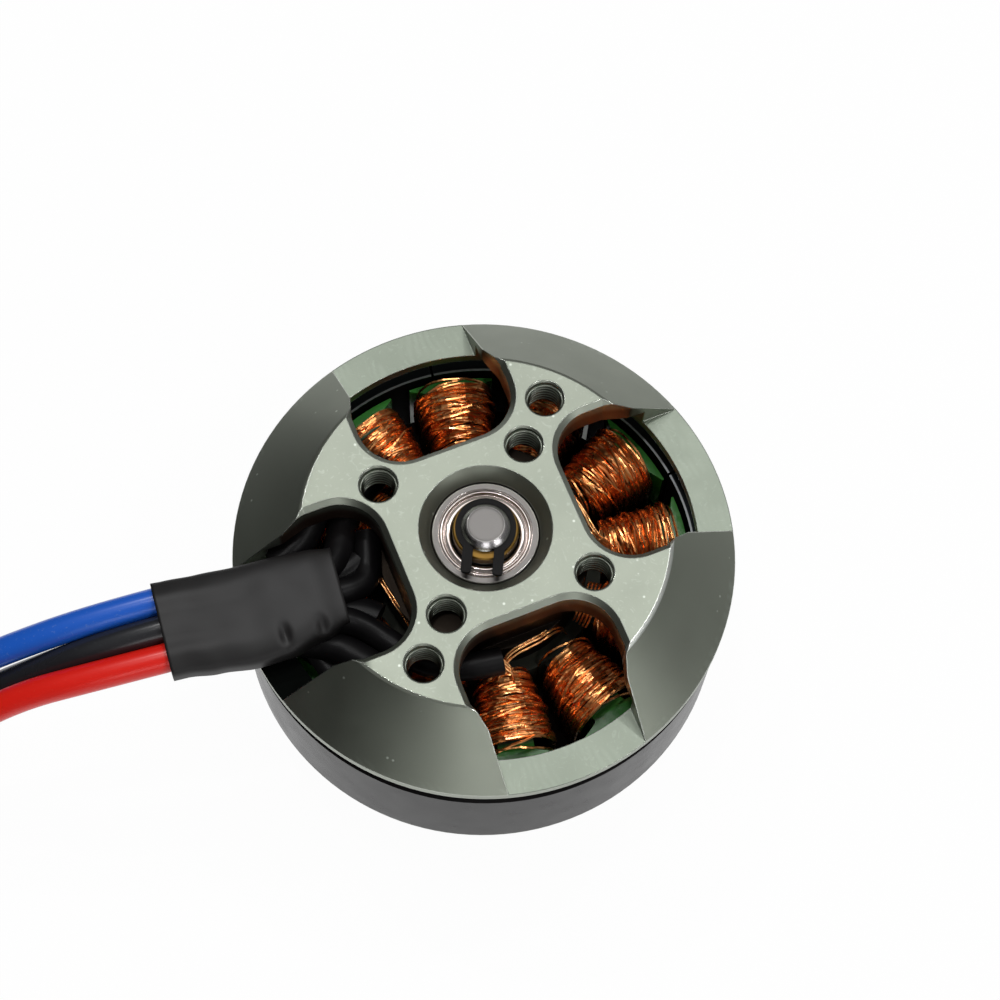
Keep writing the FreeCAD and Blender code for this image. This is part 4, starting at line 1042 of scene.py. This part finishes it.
@dataclass
class Bearings:
    """Shielded ball bearings at both ends of the tube."""

    finishes: Finishes
    faces: tuple[tuple[str, float, float], ...] = (("rear", 21.0, 25.0), ("front", 6.75, 10.75))
    sheet: float = 0.1
    contour: tuple[tuple[float, float], ...] = (
        (3.94, -0.02), (3.90, -0.05), (3.86, -0.14), (3.80, -0.17), (3.74, -0.13), (3.68, -0.07),
        (3.60, -0.05), (3.52, -0.08), (3.46, -0.16), (3.42, -0.27), (3.37, -0.29), (3.31, -0.22),
        (3.22, -0.16), (3.08, -0.13), (2.94, -0.14), (2.84, -0.18), (2.78, -0.27), (2.75, -0.38))

    def build(self) -> None:
        """Dress the rings, balls and cages, and press the shields."""
        shell = [*self.contour, *((r, z - self.sheet) for r, z in reversed(self.contour))]
        for end, low, high in self.faces:
            give_material(self.finishes.bearing,
                          *(f"{end}_bearing_{part}" for part in ("outer_ring", "inner_ring", "balls")))
            give_material(self.finishes.cage, f"{end}_bearing_cage")
            profiles = [[(r, high + z) for r, z in shell], [(r, low - z) for r, z in shell]]
            shields = turned_piece(f"{end}_pressed_shields", profiles, self.finishes.shield)
            finish_piece(shields, "shield_steel", f"{end}_bearing_shields")


@dataclass
class Stator:
    """Coated core, its twelve coils and the wires that join them. Routes are in degrees and millimetres."""

    finishes: Finishes
    tooth_angle: float = 2.7
    tooth_pitch: float = 30.0
    first_tooth: int = 5
    wire_diameter: float = 0.22 * MM
    turns: int = 30
    loose_turns: int = 24
    coil_start: float = 10.35 * MM
    coil_end: float = 15.9 * MM
    coil_width: float = 7.1 * MM
    inner_share: float = 0.66
    overhang: float = 2.8 * MM
    corner: float = 3.2 * MM
    wander: float = 0.42 * MM
    strand_diameter: float = 0.21 * MM
    strand_wander: float = 0.25 * MM
    sleeve_wander: float = 0.12 * MM
    # course of a crossing strand: degrees from the middle, then what its radius and its height gain
    crossing: tuple[tuple[float, float, float], ...] = (
        (-6, 0.3, 0.5), (4, 0, 0.8), (14, -0.1, 0.8), (22, -0.2, 0.6), (28, -0.2, -0.4), (32, -0.1, -2.2),
        (34, 0, -4.0))

    def build(self) -> None:
        """Dress the core, wind the coils of the three phases and join them."""
        give_material(self.finishes.core, "stator_core")
        low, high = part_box("stator_core")
        tree = winding_tree()
        for order, phase in enumerate("abc"):
            tooth = self.first_tooth + 2 * order
            values = {"Turns": self.turns, "Loose Turns": self.loose_turns,
                      "Wire Diameter": self.wire_diameter, "Coil Start": self.coil_start,
                      "Coil End": self.coil_end, "Width": self.coil_width,
                      "Inner Share": self.inner_share, "Height": high[2] - low[2] + 2 * self.overhang,
                      "Middle": (low[2] + high[2]) / 2, "Corner": self.corner,
                      "First Angle": math.radians(self.tooth_angle + self.tooth_pitch * tooth),
                      "Wander": self.wander, "Seed": 3 + order, "Wire": self.finishes.copper}
            wires = grow(f"wound_wires_{phase}", tree, values, [Vector()])
            finish_piece(wires, "enamelled_copper", f"winding_phase_{phase}")
        self.join_coils()
        self.insulate()

    def join_coils(self) -> None:
        """Lay the fine strands that cross from coil to coil, and the tails that leave the phase sleeves."""
        crossings, tails = [], []
        for middle in (310, 40, 130, 220):
            for radius, height in ((8.7, 20.1), (8.95, 20.2), (9.2, 19.9))[:2 if middle == 220 else 3]:
                steps = [(-13, radius + 2.2, 18.4), (-9.5, radius + 1.1, 19.9)]
                steps += [(turn, radius + out, height + up) for turn, out, up in self.crossing]
                crossings.append([polar(middle + turn, out, up) for turn, out, up in steps])
            # other strands pass under the screw holes, from the next coil
            for radius in (9.1, 9.4, 9.7, 10.0, 10.3):
                steps = [(38, radius, 18.6), (42, radius, 20.0), (47, radius + 0.1, 20.4), (52, radius, 20.3),
                         (57, radius - 0.1, 20.0), (61, radius, 18.6)]
                crossings.append([polar(middle + turn, out, up) for turn, out, up in steps])
        for start, landing in (((11.22, 162), (10.9, 157.5)), ((9.79, 196), (10.0, 191.5)),
                               ((9.7, 301), (10.4, 305))):
            for shift, lift in ((-0.28, 0.0), (0.02, 0.22), (0.3, -0.05), (0.0, -0.24)):
                steps = ((start, 21.1), (landing, 20.6), ((landing[0] + 0.9, landing[1] + 0.5), 18.9))
                tails.append([polar(degrees, out + shift, up + lift) for (out, degrees), up in steps])
        for name, lines, node in (("crossing_strands", crossings, "crossover_wires"),
                                  ("phase_tail_strands", tails, "phase_tails")):
            self.lay(name, lines, self.strand_diameter, self.finishes.copper, "enamelled_copper", node)

    def lay(self, name: str, lines: list[list[Vector]], diameter: float, material: Material, slot: str,
            node: str) -> None:
        """Lay wires or sleeves along lines.

        Args:
            name: Name of the piece.
            lines: Points of each line.
            diameter: Diameter in metres.
            material: Material of the wires or sleeves.
            slot: Material slot of the record.
            node: CAD node that they stand for.
        """
        points, edges = [], []
        for line in lines:
            edges += [(len(points) + i, len(points) + i + 1) for i in range(len(line) - 1)]
            points += line
        thin = diameter < 1 * MM
        values = {"Wire Diameter": diameter, "Wander": self.strand_wander if thin else self.sleeve_wander,
                  "Sides": 8 if thin else 28, "Wire": material}
        finish_piece(grow(name, strand_tree(), values, points, edges), slot, node)

    def sleeve(self, name: str, routes: tuple, diameter: float, node: str) -> None:
        """Slip black tubing over wires.

        Args:
            name: Name of the piece.
            routes: Radius, degrees and height of each point of each tube, in millimetres.
            diameter: Diameter in metres.
            node: CAD node that the tubes stand for.
        """
        lines = [[polar(degrees, out, up) for out, degrees, up in route] for route in routes]
        self.lay(name, lines, diameter, self.finishes.tubing, "black_sleeving", node)

    def insulate(self) -> None:
        """Sleeve the phase wires and the star point, and lay two dark sheets that stand in for shade: a ring
        under the coils and a pad in the left window.
        """
        self.sleeve("phase_tubing_a", (
            ((13.8, 212.9, 22.1), (12.5, 211.3, 22.0), (11.9, 204.0, 21.5), (12.1, 195.0, 21.2),
             (11.8, 182.0, 21.3), (11.3, 170.0, 21.3), (11.2, 161.5, 21.2)),), 2.5 * MM, "phase_sleeve_a")
        self.sleeve("phase_tubing_b", (
            ((13.8, 221.7, 22.1), (12.5, 222.2, 22.0), (11.0, 222.5, 21.7), (9.9, 218.0, 21.2),
             (9.7, 207.0, 21.2), (9.8, 195.5, 21.2)),), 2.3 * MM, "phase_sleeve_b")
        self.sleeve("phase_tubing_c", (
            ((13.9, 231.0, 22.1), (12.7, 234.0, 21.9), (11.7, 240.5, 21.4), (11.3, 252.0, 21.2),
             (11.1, 268.0, 21.2), (10.6, 284.0, 21.2), (9.7, 301.5, 21.0)),), 2.3 * MM, "phase_sleeve_c")
        # painted shade: a dark ring under the coils stands in for the shade between them
        ring_outline = [[(8.7, 12.0), (16.5, 12.0), (16.5, 12.25), (8.7, 12.25)]]
        finish_piece(turned_piece("dark_shade_ring", ring_outline, self.finishes.shade_blocker), "black_sleeving")
        # a black pad over the coils in the left window stands in for the shade there
        pad = [[(15.4, 20.75), (17.2, 20.75), (17.2, 20.95), (15.4, 20.95)]]
        finish_piece(turned_piece("left_window_shade_pad", pad, self.finishes.tubing, 40, (184.0, 258.0)),
                     "black_sleeving")
        self.sleeve("star_point_tubing", (
            ((17.6, 208.0, 20.9), (15.6, 203.5, 21.1), (14.6, 196.0, 21.2), (14.5, 185.0, 21.3),
             (14.1, 172.0, 21.3)),
            ((17.4, 229.5, 20.8), (15.6, 234.5, 20.9), (14.0, 242.0, 21.1), (13.8, 252.0, 21.2),
             (13.6, 264.0, 21.2)),
            ((15.2, 214.0, 20.6), (13.2, 216.0, 20.8), (11.6, 214.0, 20.9), (10.4, 209.0, 20.9)),
            ((15.0, 226.0, 20.6), (13.0, 228.0, 20.8), (11.4, 231.0, 20.9), (10.6, 238.0, 20.9))),
            2.7 * MM, "star_joint_sleeve")


@dataclass
class Rotor:
    """Can, magnets, bell, screws and shaft."""

    finishes: Finishes

    def build(self) -> None:
        """Dress the turning pieces."""
        give_material(self.finishes.can, "flux_ring")
        give_material(self.finishes.bell, "bell")
        give_material(self.finishes.magnet, "magnets")
        give_material(self.finishes.oxide, "grub_screws", "retaining_ring")
        give_material(self.finishes.shaft, "shaft", "front_spacer")
        give_material(self.finishes.shim, "shaft_shim")


@dataclass
class LeadSet:
    """Three silicone leads, the flat sleeve over their joints and their bullet connectors, in millimetres."""

    finishes: Finishes
    sleeve_angle: float = 218.8
    lead_offset: float = 0.25
    sleeve_height: float = 22.54
    sleeve_start: float = 12.4
    sleeve_length: float = 14.8
    sleeve_wall: float = 0.28
    lead_diameter: float = 2.4
    lead_pitch: float = 2.42
    around: int = 96
    stretches: int = 60
    squareness: float = 3.6
    lip: float = 0.03
    turned_in: float = 2.6
    lobe_height: float = 0.07
    lobe_start: float = 19.0
    lobe_run: float = 6.0
    dent_span: float = 0.75
    ripple: float = 0.03
    # distance along, then middle, half width, rise of the top and drop of the underside
    sections: tuple[tuple[float, ...], ...] = (
        (12.4, 0.5, 3.35, 1.4, 1.35), (14.7, 0.75, 3.85, 1.8, 1.6), (17.7, 1.0, 4.25, 1.75, 1.62),
        (20.3, 1.05, 4.3, 1.62, 1.62), (23.5, 0.78, 4.2, 1.58, 1.58), (26.2, 0.5, 4.1, 1.56, 1.56),
        (27.2, 0.46, 4.12, 1.58, 1.58))
    # place along, its width, the distance across and the depth of each dent
    dents: tuple[tuple[float, ...], ...] = ((17.7, 0.34, 3.84, 0.5), (14.6, 0.36, 3.95, 0.5),
                                            (16.2, 1.1, 0.6, 0.12), (20.6, 1.6, -0.6, 0.06))
    # each lead's route: distance along from the sleeve's outlet, across it and up
    routes: tuple[tuple[str, tuple[tuple[float, float, float], ...]], ...] = (
        ("blue", ((-2.0, -2.42, 0.0), (5.0, -2.42, 0.0), (13.3, -2.64, -2.8), (21.3, -3.3, -8.2),
                  (28.8, -4.7, -14.2), (35.2, -6.1, -18.5), (40.8, -7.2, -20.1), (45.4, -8.1, -20.1))),
        ("black", ((-2.0, 0.0, 0.0), (4.3, 0.0, 0.0), (12.8, -0.8, -4.9), (20.4, -1.4, -10.4),
                   (27.6, -1.7, -15.4), (34.2, -1.1, -19.0), (39.9, 0.2, -20.1), (44.6, 1.2, -20.1))),
        ("red", ((-2.0, 2.42, 0.0), (5.0, 2.42, 0.0), (13.6, 1.4, -3.0), (21.9, 2.1, -8.6),
                 (29.6, 4.0, -14.2), (36.2, 5.9, -18.6), (41.8, 7.3, -20.1), (46.4, 8.2, -20.1))),
    )

    def build(self) -> None:
        """Build the leads and their sleeve."""
        self.build_leads()
        self.build_sleeve()

    def point(self, along: float, across: float, up: float) -> Vector:
        """Turn sleeve coordinates into a point of the frame.

        Args:
            along: Distance from the motor's axis in millimetres.
            across: Distance from the middle lead in millimetres.
            up: Height over the sleeve's middle in millimetres.

        Returns:
            The point in metres.
        """
        angle = math.radians(self.sleeve_angle)
        across += self.lead_offset
        return Vector((along * math.cos(angle) - across * math.sin(angle),
                       along * math.sin(angle) + across * math.cos(angle),
                       self.sleeve_height + up)) * MM

    def build_leads(self) -> None:
        """Lay the three cords and dress what is on them."""
        outlet = self.sleeve_start + self.sleeve_length
        looks = {"blue": (self.finishes.blue, self.finishes.shrink_blue),
                 "black": (self.finishes.black, self.finishes.shrink),
                 "red": (self.finishes.red, self.finishes.shrink_red)}
        for colour, route in self.routes:
            silicone, shrink = looks[colour]
            points = [self.point(outlet + along, across, up) for along, across, up in route]
            curve = bpy.data.curves.new(f"silicone_lead_{colour}", "CURVE")
            curve.dimensions = "3D"
            spline = curve.splines.new("NURBS")
            spline.points.add(len(points) - 1)
            for spot, place in zip(spline.points, points):
                spot.co = (*place, 1.0)
            spline.order_u = 3
            spline.use_endpoint_u = True
            spline.resolution_u = 12
            curve.bevel_depth = self.lead_diameter * MM / 2
            curve.bevel_resolution = 8
            curve.use_fill_caps = True
            curve.materials.append(silicone)
            cord = link_piece(curve.name, curve)
            finish_piece(cord, f"{colour}_silicone", f"lead_{colour}")
            give_material(self.finishes.gold, f"connector_{colour}")
            give_material(shrink, f"connector_sleeve_{colour}")
            tuple(self.point(outlet, route[0][1], 0.0))

    def section(self, along: float) -> tuple[float, float, float, float]:
        """Blend the sleeve's sections.

        Args:
            along: Distance from the motor's axis in millimetres.

        Returns:
            Middle, half width, rise of the top and drop of the underside.
        """
        for first, second in zip(self.sections, self.sections[1:]):
            if along <= second[0]:
                share = (along - first[0]) / (second[0] - first[0])
                share = share * share * (3 - 2 * share)
                return tuple(a + (b - a) * share for a, b in zip(first[1:], second[1:]))
        return self.sections[-1][1:]

    def ring(self, along: float, inset: float) -> list[Vector]:
        """Shape one ring of the sleeve, with its lobes, dents and ripples.

        Args:
            along: Distance from the motor's axis in millimetres.
            inset: Distance inside the outer skin.

        Returns:
            Points round the sleeve in metres.
        """
        middle, half, rise, drop = self.section(along)
        power, points = 2 / self.squareness, []
        for step in range(self.around):
            angle = 2 * math.pi * step / self.around
            side, up = math.cos(angle), math.sin(angle)
            across = math.copysign(abs(side) ** power, side) * (half - inset)
            height = math.copysign(abs(up) ** power, up) * ((rise if up > 0 else drop) - inset)
            # the skin follows the three round joints, more so towards the leads
            lobes = self.lobe_height * math.cos(2 * math.pi * across / self.lead_pitch)
            height += lobes * max(0.0, min(1.0, (along - self.lobe_start) / self.lobe_run)) * abs(up)
            for place, width, reach, depth in self.dents:
                far = ((along - place) / width) ** 2 + ((across + middle - reach) / self.dent_span) ** 2
                height -= depth * math.exp(-far) * math.sqrt(max(0.0, up))
            spot = Vector((along * 0.55, (across + middle) * 0.8, 3.0 if up > 0 else 9.0))
            height += self.ripple * noise.noise(spot) * abs(up)
            points.append(self.point(along, across + middle - self.lead_offset, height))
        return points

    def build_sleeve(self) -> None:
        """Form the wrinkled heat-shrink over the lead joints, open at both ends."""
        start, end, wall = self.sleeve_start, self.sleeve_start + self.sleeve_length, self.sleeve_wall
        # outer skin from the phase wires to the leads; at both mouths the wall turns in and runs back inside
        stations = [(start + self.turned_in, wall), (start + self.lip, wall)]
        stations += [(start + (end - start) * i / self.stretches, 0.0) for i in range(self.stretches + 1)]
        stations += [(end - self.lip, wall), (end - self.turned_in, wall)]
        vertices = [point for along, inset in stations for point in self.ring(along, inset)]
        last = len(vertices) - self.around
        faces = []
        for here in range(0, last, self.around):
            there = here + self.around
            faces += [(here + i, here + (i + 1) % self.around, there + (i + 1) % self.around, there + i)
                      for i in range(self.around)]
        faces += [tuple(range(self.around)), tuple(range(last, last + self.around))]
        sleeve = mesh_piece("wrinkled_shrink_sleeve", vertices, faces, self.finishes.shrink)
        point_outwards(sleeve.data)
        finish_piece(sleeve, "black_sleeving", "lead_heat_shrink")


# ---------------------------------------------------------------------------------------------
# Studio
# ---------------------------------------------------------------------------------------------
@dataclass(frozen=True)
class SoftBox:
    """One soft white lamp, aimed at the motor."""

    name: str
    place: tuple[float, float, float]
    size: tuple[float, float]
    radiance: float

    def build(self, target: Vector) -> None:
        """Hang the lamp.

        Args:
            target: Point that the lamp faces.
        """
        lamp = bpy.data.lights.new(self.name, "AREA")
        lamp.shape = "RECTANGLE"
        lamp.size, lamp.size_y = self.size
        lamp.energy = self.radiance * math.pi * self.size[0] * self.size[1]
        holder = link_piece(self.name, lamp)
        holder.location = self.place
        holder.rotation_euler = (target - holder.location).to_track_quat("-Z", "Y").to_euler()


@dataclass(frozen=True)
class Card:
    """Curved card beside the motor that only gloss sees, so that low edges of the metal read dark."""

    name: str
    start: float
    end: float
    radius: float
    height: float
    radiance: float
    count: int = 24

    def build(self) -> None:
        """Stand the card on the bench."""
        material = bpy.data.materials.new(self.name)
        tree = bare_tree(material)
        glow = add_node(tree, "ShaderNodeEmission", {"Color": WHITE, "Strength": self.radiance})
        add_node(tree, "ShaderNodeOutputMaterial", {"Surface": glow})
        vertices = []
        for i in range(self.count + 1):
            angle = math.radians(self.start + (self.end - self.start) * i / self.count)
            out = (self.radius * math.cos(angle), self.radius * math.sin(angle))
            vertices += [(*out, 0.0), (*out, self.height)]
        faces = [(2 * i, 2 * i + 1, 2 * i + 3, 2 * i + 2) for i in range(self.count)]
        card = mesh_piece(self.name, vertices, faces, material)
        for sight in ("camera", "diffuse", "shadow", "transmission", "volume_scatter"):
            setattr(card, f"visible_{sight}", False)


@dataclass
class Studio:
    """Pale floor, soft lamps, dim surround and the camera."""

    azimuth: float = 19.218
    elevation: float = 68.306
    roll: float = 3.976
    camera_place: tuple[float, float, float] = (22.77, -62.29, 199.14)
    lens_mm: float = 82.54
    sensor_mm: float = 36.0
    floor_size: float = 3.0
    floor_glow: float = 0.97
    surround: float = 0.2
    target: tuple[float, float, float] = (0.0, 0.0, 0.02)
    lamps: tuple[SoftBox, ...] = (
        SoftBox("overhead_box", (-0.055, 0.155, 0.45), (0.22, 0.22), 2.1),
        SoftBox("left_spark", (-0.20, 0.13, 0.43), (0.022, 0.022), 185.0),
        SoftBox("right_spark", (0.06, 0.21, 0.45), (0.022, 0.022), 185.0),
        SoftBox("low_spark", (-0.06, 0.01, 0.50), (0.022, 0.022), 185.0),
        SoftBox("edge_strip", (0.24, 0.0, 0.43), (0.24, 0.03), 16.0),
        SoftBox("right_box", (0.42, -0.16, 0.20), (0.18, 0.18), 3.0),
        SoftBox("front_box", (0.20, -0.42, 0.24), (0.18, 0.16), 2.6),
    )
    cards: tuple[Card, ...] = (
        Card("left_flag", 152, 262, 0.08, 0.07, 0.0),
        Card("back_card", 52, 152, 0.12, 0.05, 0.22),
        Card("right_card", -40, 52, 0.13, 0.05, 0.16),
    )

    def build(self) -> None:
        """Set up the whole studio."""
        bpy.context.scene.view_settings.view_transform = "Standard"
        self.camera()
        self.floor()
        self.world()
        for lamp in self.lamps:
            lamp.build(Vector(self.target))
        for card in self.cards:
            card.build()

    def camera(self) -> None:
        """Stand the camera where it sees the motor from above its mounting face."""
        azimuth, elevation, roll = (math.radians(a) for a in (self.azimuth, self.elevation, self.roll))
        back = Vector((math.sin(azimuth) * math.cos(elevation), -math.cos(azimuth) * math.cos(elevation),
                       math.sin(elevation)))
        level = Vector((math.cos(azimuth), math.sin(azimuth), 0.0))
        upward = back.cross(level)
        right = level * math.cos(roll) + upward * math.sin(roll)
        top = upward * math.cos(roll) - level * math.sin(roll)
        data = bpy.data.cameras.new("bench_camera")
        data.lens = self.lens_mm
        data.sensor_width = self.sensor_mm
        data.clip_start = 0.01
        data.clip_end = 20.0
        camera = link_piece("bench_camera", data)
        turn = Matrix((right, top, back)).transposed().to_4x4()
        camera.matrix_world = Matrix.Translation(Vector(self.camera_place) * MM) @ turn
        bpy.context.scene.camera = camera

    def seen_directly(self, tree: Tree) -> Node:
        """Give one for rays from the camera, off gloss and through glass, which see the white sweep.

        Args:
            tree: Node tree of the floor.

        Returns:
            The node whose first output is a factor from zero to one.
        """
        path = add_node(tree, "ShaderNodeLightPath").outputs
        first = add_node(tree, "ShaderNodeMath", {0: path["Is Camera Ray"], 1: path["Is Glossy Ray"]},
                         operation="ADD")
        return add_node(tree, "ShaderNodeMath", {0: first, 1: path["Is Transmission Ray"]},
                        operation="ADD", use_clamp=True)

    def floor(self) -> None:
        """Lay the pale floor: white to the eye, with the motor's shadow kept."""
        material = bpy.data.materials.new("white_paper_floor")
        tree = bare_tree(material)
        place = add_node(tree, "ShaderNodeTexCoord").outputs["Object"]
        fibre = add_node(tree, "ShaderNodeTexNoise",
                         {"Vector": place, "Scale": 1 / (0.5 * MM), "Detail": 3.0})
        tone = add_node(tree, "ShaderNodeMapRange", {"Value": fibre, "To Min": 0.90, "To Max": 0.94})
        paper = add_node(tree, "ShaderNodeBsdfDiffuse", {"Color": tone})
        glow = add_node(tree, "ShaderNodeEmission", {"Color": WHITE, "Strength": 1.0})
        share = add_node(tree, "ShaderNodeMath", {0: self.seen_directly(tree), 1: self.floor_glow},
                         operation="MULTIPLY")
        mix = add_node(tree, "ShaderNodeMixShader", {0: share, 1: paper, 2: glow})
        add_node(tree, "ShaderNodeOutputMaterial", {"Surface": mix})
        half = self.floor_size
        corners = [(-half, -half, 0.0), (half, -half, 0.0), (half, half, 0.0), (-half, half, 0.0)]
        mesh_piece("studio_floor", corners, [(0, 1, 2, 3)], material, smooth=False)

    def world(self) -> None:
        """Set the dim even surround."""
        world = bpy.data.worlds.new("studio_surround")
        bpy.context.scene.world = world
        tree = bare_tree(world)
        shade = add_node(tree, "ShaderNodeBackground", {"Color": WHITE, "Strength": self.surround})
        add_node(tree, "ShaderNodeOutputWorld", {"Surface": shade})


def main() -> None:
    """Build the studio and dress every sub-assembly."""
    logging.basicConfig(level=logging.INFO, format="%(message)s")
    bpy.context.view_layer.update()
    finishes = Finishes()
    Studio().build()
    for assembly in (LeadSet(finishes), MountingBase(finishes), Bearings(finishes), Stator(finishes),
                     Rotor(finishes)):
        assembly.build()


if __name__ == "__main__":
    main()
